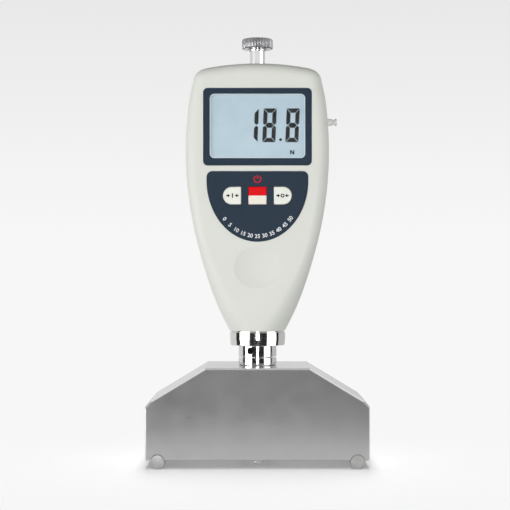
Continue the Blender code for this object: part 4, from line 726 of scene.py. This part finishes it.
film = {
    "front": -13.95 * mm,
    "back": -13.45 * mm,
    "edge": 0.1 * mm,
    "gap": 0.05 * mm,
    # the pale ring round the window, a painted highlight of its edge: how far in from the window it starts
    # and ends, and how far it is sunk
    "rim": (0.05 * mm, 0.45 * mm),
    "rimSunk": 0.02 * mm,
}
dish = {"width": 21.5 * mm, "height": 18.9 * mm, "depth": 1.4 * mm, "level": 88.45 * mm}
battery = {
    "width": 46.1 * mm,
    "height": 51.9 * mm,
    "middle": 139.2 * mm,
    "corner": 1.2 * mm,
    "gap": 0.35 * mm,
    "front": 11.8 * mm,
    "soft": 0.3 * mm,
    "grooves": 5,
    "grooveLow": 127.2,  # this, the step and the outline in millimetres
    "grooveStep": 1.5,
    "groove": ((-6, 0), (-5.7, 0.3), (5.7, 0.3), (6, 0), (5.7, -0.3), (-5.7, -0.3)),
    "grooveDepth": 0.35 * mm,
    "hookPlaces": (-10.9 * mm, 10.9 * mm),
    "hookHalf": 2 * mm,
    # the two parts of a hook, from and to in depth and height, in millimetres
    "hook": (((10.1, 161.75), (12.2, 164.35)), ((10.1, 163), (11.5, 167))),
}
notch = {"width": 14 * mm, "height": 7 * mm, "depth": 0.9 * mm, "level": 120.25 * mm}


def sideReach(height):
    # half the housing's width at a height: a smooth curve through the stations
    levels = [housing["bottom"] + share * housing["height"] for share in housing["levels"]]
    widths = [housing["collarRadius"]] + [share * housing["width"] / 2 for share in housing["widths"]]
    last = len(levels) - 1
    slopes = []
    for index in range(last + 1):
        before, after = max(index - 1, 0), min(index + 1, last)
        slopes.append((widths[after] - widths[before]) / (levels[after] - levels[before]))
    index = max(i for i in range(last) if levels[i] <= height + 0.00001)
    span = levels[index + 1] - levels[index]
    t = (height - levels[index]) / span
    start = (1 + 2 * t) * (1 - t) ** 2 * widths[index] + t * (1 - t) ** 2 * span * slopes[index]
    return start + t * t * (3 - 2 * t) * widths[index + 1] + t * t * (t - 1) * span * slopes[index + 1]


def crown(x):
    top = housing["bottom"] + housing["height"]
    return top - housing["crownRise"] * (x / (housing["crownWidth"] / 2)) ** 2


def facing(along):
    # the way that an outline running upwards faces, never below level
    return max(math.atan2(-along.x, along.y), 0)


def housingLine(floor):
    # the right half of the outline, as points with the way that they face
    shoulder = housing["bottom"] + housing["levels"][-1] * housing["height"]
    sideSteps, cornerSteps, crownSteps = housing["steps"]
    heights = [floor + (shoulder - floor) * step / sideSteps for step in range(sideSteps + 1)]
    line = [(Vector((sideReach(height), height)), 0.0) for height in heights]
    for index in range(1, len(line) - 1):
        line[index] = (line[index][0], facing(line[index + 1][0] - line[index - 1][0]))
    start, end = line[-1][0], Vector((housing["crownWidth"] / 2, crown(housing["crownWidth"] / 2)))
    lean = start.x - housing["cornerLean"]
    pull = Vector((lean, crown(lean)))
    turn = math.atan2(housing["crownWidth"] / 2, 2 * housing["crownRise"])
    line[-1] = (start, facing(pull - start))
    for step in range(1, cornerSteps + 1):
        t = step / cornerSteps
        place = start * (1 - t) ** 2 + pull * 2 * t * (1 - t) + end * t * t
        line.append((place, facing((pull - start) * (1 - t) + (end - pull) * t)))
    for step in range(1, crownSteps + 1):
        t = step / crownSteps
        x = end.x * (1 - t)
        line.append((Vector((x, crown(x))), turn + (math.pi / 2 - turn) * t))
    return line


def housingSection(point, turn, inset, steps):
    # from the flat front round the edge to the flat back
    rise = point.y - housing["bottom"]
    neck = max(1 - rise / housing["neck"], 0) ** 3
    flare = max(1 - rise / housing["flare"], 0) ** housing["flarePower"]
    halfDepth = housing["depth"] / 2 + (housing["collarRadius"] - housing["depth"] / 2) * neck
    radius = housing["edge"] + (housing["collarRadius"] * housing["round"] - housing["edge"]) * flare
    flat = halfDepth - radius
    radius -= inset
    away = Vector((math.cos(turn), math.sin(turn)))
    front = []
    for step in range(steps + 1):
        angle = math.pi / 2 * step / steps
        place = point - away * (inset + radius * (1 - math.sin(angle)))
        front.append((max(place.x, 0), -flat - radius * math.cos(angle), place.y))
    return front + [(x, -y, z) for x, y, z in reversed(front)]


def housingBody(inset, floor, steps):
    shape = bmesh.new()
    rings = []
    for point, turn in housingLine(floor):
        section = housingSection(point, turn, inset, steps)
        section = [(0, *section[0][1:]), *section, (0, *section[-1][1:])]
        right = [shape.verts.new(place) for place in section]
        left = [shape.verts.new((-x, y, z)) for x, y, z in reversed(section[1:-1])]
        rings.append(right + left)
    bridged(shape, rings)
    shape.faces.new(rings[0])
    bmesh.ops.remove_doubles(shape, verts=shape.verts, dist=0.00001)
    bmesh.ops.dissolve_degenerate(shape, dist=0.000005, edges=shape.edges)
    bmesh.ops.recalc_face_normals(shape, faces=shape.faces)
    return shape


def boxOutline(sizes, grown=0.0, steps=8):
    # a rounded rectangle, larger all round by what it has grown
    corner = sizes["corner"] + grown
    across, up = sizes["width"] / 2 + grown - corner, sizes["height"] / 2 + grown - corner
    points = []
    for start, x, z in ((0, across, up), (90, -across, up), (180, -across, -up), (270, across, -up)):
        points += arc((x, sizes["middle"] + z), corner, start, start + 90, steps)
    return points


def keypadOutline(grown=0.0):
    half, curve = keypad["width"] / 2 + grown, keypad["curve"] + grown
    corner, top = keypad["corner"] + grown, keypad["top"] + grown
    shoulder = keypad["top"] - keypad["shoulder"]
    points = arc((half - corner, top - corner), corner, 0, 90, 8)
    points += arc((corner - half, top - corner), corner, 90, 180, 8)
    return points + [(x * half, shoulder + z * curve) for x, z in arc((0, 0), 1, 180, 360, 72)]


def keyOutlines(grown=0.0):
    halfWidth, halfHeight = key["width"] / 2 + grown, key["height"] / 2 + grown
    corner, row = key["corner"] + grown, key["middle"]
    right = arc((halfWidth - halfHeight, row), halfHeight, -90, 90, 40)
    right += arc((corner - halfWidth, row + halfHeight - corner), corner, 90, 180, 4)
    right += arc((corner - halfWidth, row - halfHeight + corner), corner, 180, 270, 4)
    left = [(-x - key["spacing"], z) for x, z in reversed(right)]
    right = [(x + key["spacing"], z) for x, z in right]
    return {"left_key": left, "power_key": boxOutline(key, grown, 4), "right_key": right}


def dome(sizes, face):
    # cutter of a shallow hollow; a face behind the middle is cut from behind
    width, depth = sizes["width"], sizes["depth"]
    radius = (width**2 / 4 + depth**2) / (2 * depth)
    reach = math.degrees(math.asin((radius - depth) / radius))
    line = [(0, -depth)]
    for step in range(1, 25):
        turn = math.radians(90 - (90 - reach) * step / 24)
        line.append((radius * math.cos(turn), -depth + radius - radius * math.sin(turn)))
    # the edge runs out softly
    edge = line[-1][0]
    line += [(edge + 0.25 * mm, 0.02 * mm), (edge + 0.6 * mm, 0.08 * mm), (edge + mm, overrun), (0, overrun)]
    shape = lathe(line[::-1], 96, "Y")
    shape.transform(Matrix.Diagonal((1, math.copysign(1, face), sizes["height"] / width, 1)))
    shape.transform(Matrix.Translation((0, face, sizes["level"])))
    return outward(shape)


def sharedHoles():
    holes = []
    for radius, low, high, axis, level, sides in housing["holes"]:
        line = millimetres(((0, high), (radius, high), (radius, low), (0, low)))
        holes.append(lathe(line, sides, axis, (0, 0, level * mm)))
    return holes


def layer(near, far, grown=0.0):
    across, low, high = housing["around"]
    return block((-across - grown, near, low - grown), (across + grown, far, high + grown))


def shellHalf(inside, front):
    # the outer body without its hollow, on one side of the seam; the inner half of the front wall
    # reaches almost to the rear one, so that no light shows through the seam
    seam, wall = housing["seam"] / 2, housing["wall"] / 2
    near, far = (-20 * mm, seam - housing["seamGap"]) if front else (seam, 20 * mm)
    shell = carved(housingBody(0, housing["bottom"], 14), [inside.copy()])
    shell = carved(shell, [layer(near, far)], "INTERSECT")
    if not front:
        return shell
    core = housingBody(wall, housing["bottom"] + wall, 6)
    return carved(shell, [carved(layer(-seam, overrun, 5 * mm), [core])])


def makeHousing():
    screws = [(x, 0, z) for x, z in millimetres(housing["screws"])]
    column, hole = millimetres(housing["column"]), millimetres(housing["screwHole"])
    blocks = [block(*millimetres(housing["bushBlock"]))]
    blocks += [lathe(column, 24, "Y", place) for place in screws]
    inside = carved(housingBody(housing["wall"], housing["bottom"] + housing["floor"], 6), blocks)
    front = -housing["depth"] / 2
    out, floor, through = front - overrun, front + housing["filmRecess"], front + housing["frontWall"]
    cutters = [
        slab([boxOutline(display, film["gap"])], out, floor),
        slab([boxOutline(window, -window["lip"])], out, through),
        slab([keypadOutline(film["gap"])], out, floor),
    ]
    cutters += [slab([outline], out, through) for outline in keyOutlines(key["wellGap"]).values()]
    shell = carved(shellHalf(inside, True), cutters + [dome(dish, front)] + sharedHoles())
    addPiece("housing_front", shell, "housing_plastic", "front_shell", crease=32)
    back = housing["depth"] / 2
    cutters = [slab([boxOutline(battery, battery["gap"])], back - housing["doorRecess"], back + overrun)]
    cutters += [lathe(hole, 48, "Y", place) for place in screws]
    rear = carved(shellHalf(inside, False), cutters + sharedHoles())
    addPiece("housing_rear", rear, "housing_plastic", "rear_shell", crease=32)
    inside.free()
    print("housing made")


makeHousing()


glass = {"front": -13.25 * mm, "step": -11.5 * mm, "overlap": 0.5 * mm, "gap": 0.15 * mm}


def makeFilms():
    near, far, sunk = film["front"], film["back"], film["front"] + film["rimSunk"]
    border = slab([boxOutline(display), boxOutline(window)], near, far)
    addPiece("display_border", softened(border, film["edge"]), "film_navy", "display_frame")
    # a pale ring round the window's edge, which paints the highlight that the edge catches
    outer, inner = [boxOutline(window, -inwards) for inwards in film["rim"]]
    rim = softened(slab([outer, inner], sunk, far), film["edge"] / 2)
    addPiece("display_rim_painted_highlight", rim, "window_rim")
    addPiece("display_pane", slab([inner], sunk, far), "window_clear", "display_window")
    low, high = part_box("lcd_panel")
    view = boxOutline(window, -window["lip"] - glass["gap"])
    raised = slab([view], glass["front"], glass["step"] + glass["overlap"])
    panel = carved(block((low.x, glass["step"], low.z), high), [raised], "UNION")
    addPiece("display_glass", panel, "lcd_glass", "lcd_panel")
    cover = slab([keypadOutline(), *keyOutlines(key["filmGap"]).values()], near, far)
    addPiece("keypad_film", softened(cover, film["edge"]), "film_navy", "keypad_overlay")
    print("films made")


def makeKeys():
    flanges = keyOutlines(key["flange"])
    for name, outline in keyOutlines().items():
        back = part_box(name)[1].y
        cap = softened(slab([outline], key["front"], back), key["soft"], 4)
        shape = carved(cap, [slab([flanges[name]], key["flangeFront"], back)], "UNION")
        addPiece(f"{name}_cap", shape, "key_red" if name == "power_key" else "key_ivory", name)
    print("keys made")


makeFilms()
makeKeys()


digits = {
    "width": 5.8 * mm,
    "height": 15.0 * mm,
    "side": 1.8 * mm,
    "end": 1.95 * mm,
    "bar": 1.13 * mm,
    "gap": 0.15 * mm,
    "lean": 0.0435,
    "bottom": 144.12 * mm,
    "places": ((-5.8, "bc"), (2.12, "abcdefg"), (12.34, "abcdefg")),  # left edges in millimetres
    "point": (10.24 * mm, 145.25 * mm),
    "pointRadius": 0.64 * mm,
    "front": -13.31 * mm,
    "back": -13.24 * mm,
}
# the letter N under the digits: from and to of its three strokes, in millimetres
unit = {
    "strokes": (
        ((14.75, 138.65), (14.75, 140.65)),
        ((16.1, 138.65), (16.1, 140.65)),
        ((14.72, 140.55), (16.13, 138.75)),
    ),
    "line": 0.52 * mm,
}


def digitSegments(left, shownBars):
    # the seven bars of a digit as outlines, with pointed joints between them
    names = ("width", "height", "side", "end", "bar", "gap")
    wide, high, side, end, bar, gap = [digits[name] for name in names]
    half, point = high / 2, side * 0.5
    inner, far = side + gap, wide - side - gap
    bars = {
        "a": [(gap, high), (wide - gap, high), (far, high - end), (inner, high - end)],
        "d": [(gap, 0), (inner, end), (far, end), (wide - gap, 0)],
        "f": [
            (0, high - gap),
            (side, high - end - gap),
            (side, half + bar + gap),
            (point, half + gap),
            (0, half + bar * 0.7),
        ],
    }
    bars["g"] = [(point + gap, half), (inner, half + bar), (far, half + bar)]
    bars["g"] += [(wide - point - gap, half), (far, half - bar), (inner, half - bar)]
    bars["b"] = [(wide - x, z) for x, z in bars["f"]][::-1]
    bars["c"] = [(x, high - z) for x, z in bars["b"]][::-1]
    bars["e"] = [(x, high - z) for x, z in bars["f"]][::-1]
    lean, bottom = digits["lean"], digits["bottom"]
    return [[(left + x + z * lean, bottom + z) for x, z in bars[name]] for name in shownBars]


def sheetOf(outlines, near, far):
    # several thin plates in one mesh; a list of outlines is a plate with holes
    return joined([slab(line if isinstance(line[0], list) else [line], near, far) for line in outlines])


def stroke(start, end, width):
    start, end = Vector(start), Vector(end)
    along = (end - start).normalized() * width / 2
    side = Vector((-along.y, along.x))
    return [tuple(start + side), tuple(start - side), tuple(end - side), tuple(end + side)]


def makeReading():
    outlines = []
    for left, shownBars in digits["places"]:
        outlines += digitSegments(left * mm, shownBars)
    outlines.append(arc(digits["point"], digits["pointRadius"], 0, 337.5, 15))
    outlines += [stroke(*millimetres(ends), unit["line"]) for ends in unit["strokes"]]
    sheet = sheetOf(outlines, digits["front"], digits["back"])
    addPiece("display_reading", sheet, "segment_ink", weighted=False)
    print("reading made")


makeReading()


printing = {
    "proud": 0.03 * mm,
    "sunk": 0.01 * mm,
    "numbers": range(0, 55, 5),
    "numberSize": 2.45 * mm,
    "numberInset": 2.4 * mm,
    "numberSpan": (223.5, 316.5),
    "standbyRadius": 1.5 * mm,
    "standbyLevel": 127.7 * mm,
    "standbyGap": (125, 415),
    "standbyBar": (0.1 * mm, 0.25 * mm),  # above the middle, and past the ring
    "line": 0.52 * mm,
}
# on the outer keys, left: two arrows against a bar; right: two arrows towards a nought
legend = {
    "line": 0.5 * mm,
    "middles": {"left_key": -11.1 * mm, "right_key": 11.1 * mm},
    "tail": 2.75 * mm,
    "tip": 1.1 * mm,
    "barb": (1.0 * mm, 0.85 * mm),
    "bar": 1.0 * mm,
    "nought": (0.88 * mm, 0.42 * mm),
}


def numberShape(text):
    # a plain number lying in the picture plane, centred on its own middle
    data = bpy.data.curves.new("number", "FONT")
    data.body = text
    data.size = printing["numberSize"]
    data.align_x = "CENTER"
    data.align_y = "CENTER"
    data.offset = printing["numberSize"] * 0.02
    data.extrude = printing["proud"] / 2
    shape = asShape(shown("number", data))
    bmesh.ops.remove_doubles(shape, verts=shape.verts, dist=0.000004)
    bmesh.ops.dissolve_degenerate(shape, dist=0.000002, edges=shape.edges)
    return shape


def makeNumbers():
    # along the curve that the film's lower edge runs on
    across = keypad["width"] / 2 - printing["numberInset"]
    curve = keypad["curve"] - printing["numberInset"]
    middle = keypad["top"] - keypad["shoulder"]
    front = film["front"] - printing["sunk"]
    first, last = printing["numberSpan"]
    numbers = []
    for index, value in enumerate(printing["numbers"]):
        t = math.radians(first + (last - first) * index / (len(printing["numbers"]) - 1))
        number = numberShape(str(value))
        turn = math.atan2(curve * math.cos(t), -across * math.sin(t))
        number.transform(Matrix.Rotation(math.pi / 2, 4, "X") @ Matrix.Rotation(turn, 4, "Z"))
        number.transform(Matrix.Translation((across * math.cos(t), front, middle + curve * math.sin(t))))
        numbers.append(number)
    addPiece("keypad_scale", joined(numbers), "white_print", weighted=False)


def makeStandby():
    level, radius, line = printing["standbyLevel"], printing["standbyRadius"], printing["line"]
    start, end = printing["standbyGap"]
    ring = arc((0, level), radius + line / 2, start, end, 28)
    ring += arc((0, level), radius - line / 2, end, start, 28)
    above, past = printing["standbyBar"]
    bar = stroke((0, level + above), (0, level + radius + past), line)
    sheet = sheetOf([ring, bar], film["front"] - printing["proud"], film["front"] + printing["sunk"])
    addPiece("standby_mark", sheet, "red_print", weighted=False)


def makeLegends():
    row, line = key["middle"], legend["line"]
    reach, spread = legend["barb"]
    for name, middle in legend["middles"].items():
        outlines = []
        for side in (-1, 1):
            tail, tip = middle + side * legend["tail"], middle + side * legend["tip"]
            back = tip + side * reach
            outlines.append(stroke((tail, row), (back, row), line))
            outlines.append([(tip, row), (back, row + spread), (back, row - spread)])
        if name == "right_key":
            outlines.append([arc((middle, row), radius, 0, 348, 29) for radius in legend["nought"]])
        else:
            outlines.append(stroke((middle, row - legend["bar"]), (middle, row + legend["bar"]), line))
        sheet = sheetOf(outlines, key["front"] - printing["proud"], key["front"] + printing["sunk"])
        addPiece(f"{name}_mark", sheet, "black_print", body=bodyOf[name], weighted=False)


makeNumbers()
makeStandby()
makeLegends()
print("printing made")


thumb = {
    "shank": 3.4 * mm,
    "shankLow": 171.3 * mm,
    "overlap": 0.4 * mm,
    "headLow": 187.4 * mm,
    "headHigh": 191.9 * mm,
    "radius": 7 * mm,
    "ridges": 60,
    "ridgeDepth": 0.45 * mm,
    "edge": 0.5 * mm,
    "dip": 0.35 * mm,
    "dipRadii": (4.4 * mm, 4.6 * mm, 5.1 * mm),
    # the washer's radius and height in millimetres
    "washer": ((3.7, 187.1), (4.25, 187.1), (4.25, 186.5), (3.7, 186.5)),
    "washerEdge": 0.12 * mm,
}


def makeThumbScrew():
    # the head is a stack of knurled rings, drawn in at both edges
    low, high, edge, radius = thumb["headLow"], thumb["headHigh"], thumb["edge"], thumb["radius"]
    dip, (hollow, slope, rim) = high - thumb["dip"], thumb["dipRadii"]
    # down from the head's edge, in from its side, and the share of the ridges' depth there
    drawn = ((0, edge, 0.2), (edge * 0.35, edge * 0.35, 0.6), (edge, 0, 1))
    layers = [(dip, hollow, 0), (dip, slope, 0), (high, rim, 0)]
    layers += [(high - down, radius - inwards, share) for down, inwards, share in drawn]
    layers += [(low + up, radius - inwards, share) for up, inwards, share in reversed(drawn)]
    shape = bmesh.new()
    turns = [2 * math.pi * step / (thumb["ridges"] * 8) for step in range(thumb["ridges"] * 8)]
    rings = []
    for z, outer, share in layers:
        ring = []
        for turn in turns:
            wave = math.cos(turn * thumb["ridges"]) * 0.5 + 0.5
            reach = outer - thumb["ridgeDepth"] * share * (1 - min(wave * 1.7, 1))
            ring.append(shape.verts.new((reach * math.cos(turn), reach * math.sin(turn), z)))
        rings.append(ring)
    shape.faces.new(rings[0])
    bridged(shape, rings)
    shape.faces.new(rings[-1])
    bmesh.ops.recalc_face_normals(shape, faces=shape.faces)
    shank, foot, top = thumb["shank"], thumb["shankLow"], low + thumb["overlap"]
    line = [(0, top), (shank, top), (shank, foot + edge), (shank - edge, foot), (0, foot)]
    shape = carved(shape, [lathe(line, 96)], "UNION")
    for face in shape.faces:
        middle = face.calc_center_median()
        face.material_index = int(middle.z > low - 0.01 * mm and math.hypot(middle.x, middle.y) > shank)
    addPiece("thumb_screw_body", shape, ["bright_chrome", "knurled_chrome"], "thumb_screw", crease=40)
    ring = lathe(rounded(millimetres(thumb["washer"]), thumb["washerEdge"], closed=True), 96)
    addPiece("thumb_screw_ring", ring, "bright_chrome", "thumb_washer")
    print("thumb screw made")


makeThumbScrew()


stud = {
    "level": 154.3 * mm,
    "edge": 0.25 * mm,
    # radius and distance from the middle in millimetres, from the tip inwards
    "line": (
        (0, 36), (1.55, 36), (1.55, 34.9), (1.1, 34.9), (1.1, 34),
        (1.55, 34), (1.55, 29.4), (2.9, 29.4), (2.9, 28), (0, 28),
    ),
}


def makeStud():
    line = rounded(millimetres(stud["line"]), stud["edge"])
    addPiece("strap_post", lathe(line, 64, "X", (0, 0, stud["level"])), "stud_grey", "strap_stud")
    print("stud made")


makeStud()


def makeBatteryCover():
    # a finger notch low on the outside, grip grooves above it, two hooks inside at the top
    back = housing["depth"] / 2
    cover = softened(slab([boxOutline(battery)], battery["front"], back), battery["soft"], 3)
    cutters = [dome(notch, back)]
    for step in range(battery["grooves"]):
        level = battery["grooveLow"] + step * battery["grooveStep"]
        groove = millimetres((x, level + z) for x, z in battery["groove"])
        cutters.append(slab([groove], back - battery["grooveDepth"], back + overrun))
    hooks = []
    for x in battery["hookPlaces"]:
        for part in battery["hook"]:
            low, high = millimetres(part)
            hooks.append(block((x - battery["hookHalf"], *low), (x + battery["hookHalf"], *high)))
    cover = carved(carved(cover, cutters), hooks, "UNION")
    addPiece("battery_cover", cover, "housing_plastic", "battery_door")
    print("battery cover made")


makeBatteryCover()


stage = {
    "reach": (0.2, 0.118),
    "litShare": 0.78,  # what the lamps give the open floor, next to the pale room
    "pale": srgb(247, 247, 247),
    "topPale": srgb(232, 232, 232),
    "shadowReach": (0.115, 0.072),  # how far from the middle the lit floor begins to fade
    "cardReach": 1.2,
    "cardSteps": 8,
}


def stageFinish():
    made = Finish("pale_backdrop", srgb(244, 244, 244), 0.85, Specular_IOR_Level=0.0, Emission_Strength=1.0)
    x, y = [place / reach for place, reach in zip(made.axes(), stage["shadowReach"])]
    near = 1 - ((x * x + y * y) ** 0.5).ramp(0.75, 1.6)
    grain = made.noise(2 * mm, 2)
    paper = made.mixed(grain * 0.06, srgb(246, 246, 246), srgb(238, 238, 238))
    glow = made.mixed(made.shows() * (1 - near * stage["litShare"]), (0, 0, 0), stage["pale"])
    made.shade(made.mixed(near, (0, 0, 0), paper), Emission_Color=glow)
    made.relief(grain, 0.01 * mm, 0.3)
    return made


def staged(name, shape, finish, unseen):
    # a thing of the studio, and the kinds of ray that don't see it
    mesh = asMesh(name, shape)
    mesh.materials.append(finish.material)
    thing = shown(name, mesh)
    for ray in unseen:
        setattr(thing, f"visible_{ray}", False)
    return thing


def makeTable():
    # an oval table top that runs into the pale room round it
    shape = bmesh.new()
    across, along = stage["reach"]
    shape.faces.new([shape.verts.new((x * across, y * along, 0)) for x, y in arc((0, 0), 1, 0, 357.5, 143)])
    return staged("table_top", shape, stageFinish(), ["diffuse"])


cards = {
    # azimuth from the front, positive to the right as the camera sees it, from and to,
    # then the lower and upper edge in metres and how pale it is
    "cardLeftNear": (-33, -4.4, -0.8, 0.3, 40),
    "cardRightNear": (5.6, 42, -0.8, 0.3, 40),
    "cardLeftFar": (-98, -76, -0.8, 0.3, 40),
    "cardRightFar": (82, 98, -0.8, 0.3, 40),
    "cardLow": (-4.4, 5.6, -0.34, -0.08, 40),
    "cardLeftBack": (-152, -98, -0.8, 0.4, 233),
    "cardRightBack": (98, 168, -0.8, 0.4, 206),
}


def makeCards():
    # black and grey cards that only show in metal, as a studio puts them round bright work
    reach, steps = stage["cardReach"], stage["cardSteps"]
    for name, (start, end, bottom, top, pale) in cards.items():
        finish = Finish(name, (0, 0, 0), 0.9, Specular_IOR_Level=0.0, Emission_Strength=1.0)
        tone = srgb(pale, pale, pale)
        finish.shade(Emission_Color=finish.mixed(finish.noise(1 * mm, 2), toned(tone, 0.8), tone))
        shape = bmesh.new()
        line = arc((0, 0), reach, start - 90, end - 90, steps)
        low, high = [[shape.verts.new((x, y, z)) for x, y in line] for z in (bottom, top)]
        for index in range(steps):
            shape.faces.new((low[index], low[index + 1], high[index + 1], high[index]))
        staged(name, shape, finish, ["camera", "diffuse", "shadow", "transmission"])


lamps = {
    # place, size across and up, power in watts, all aimed at the middle of the meter
    "softboxLeft": ((-0.92, -0.62, 0.06), 0.8, 0.5, 7.8),
    "softboxRight": ((0.95, -0.5, 0.05), 0.85, 1.0, 3.7),
    "frontStrip": ((0, -1.35, 0.05), 0.3, 0.5, 6.2),
    "floorLamp": ((0, 0.001, 1.5), 0.5, 5.0, 36.5),
}
lampAim = (0, 0, 0.09)


def linked(name, things, state):
    # a collection that a lamp is tied to
    group = bpy.data.collections.new(name)
    for index, thing in enumerate(things):
        group.objects.link(thing)
        group.collection_objects[index].light_linking.link_state = state
    return group


def makeLamps(table):
    # the floor lamp lights the table alone, past the base and rods only; the others leave the table
    # out, and the front strip the base too, which would mirror it
    foot = [bpy.data.objects[name] for name in ("base_body", "hard_rod_left", "hard_rod_right")]
    rest = linked("allButTable", [table], "EXCLUDE")
    lit = {
        "softboxLeft": rest,
        "softboxRight": rest,
        "frontStrip": linked("neitherTableNorBase", [table, foot[0]], "EXCLUDE"),
        "floorLamp": linked("tableOnly", [table], "INCLUDE"),
    }
    for name, (place, across, up, power) in lamps.items():
        data = bpy.data.lights.new(name, "AREA")
        data.shape = "RECTANGLE"
        data.size = across
        data.size_y = up
        data.energy = power
        lamp = shown(name, data)
        lamp.location = place
        lamp.rotation_euler = (Vector(lampAim) - Vector(place)).to_track_quat("-Z", "Y").to_euler()
        lamp.light_linking.receiver_collection = lit[name]
        if name == "floorLamp":
            lamp.light_linking.blocker_collection = linked("footOnly", foot, "INCLUDE")


def makeRoom():
    # a pale room to look at; what it lights is brighter behind and fades upwards and downwards
    world = bpy.data.worlds.new("studioRoom")
    world.use_nodes = True
    bpy.context.scene.world = world
    room = Tree(world.node_tree)
    right, back, up = room.axes("Generated")
    wall = room.mixed(up.ramp(0.02, 0.2), stage["pale"], stage["topPale"])
    level = 0.58 + back.ramp(0.0, 1.0) * 1.1 + right * 0.1
    level = level * (1 - up.ramp(0.0, 0.5)) * (1 - up.ramp(0.0, -0.3))
    soft = room.mixed(level, (0, 0, 0), (1, 1, 1))
    room.feed(room.tree.nodes["Background"].inputs["Color"], room.mixed(room.shows(), soft, wall))


table = makeTable()
makeCards()
makeLamps(table)
makeRoom()
print("stage and light made")
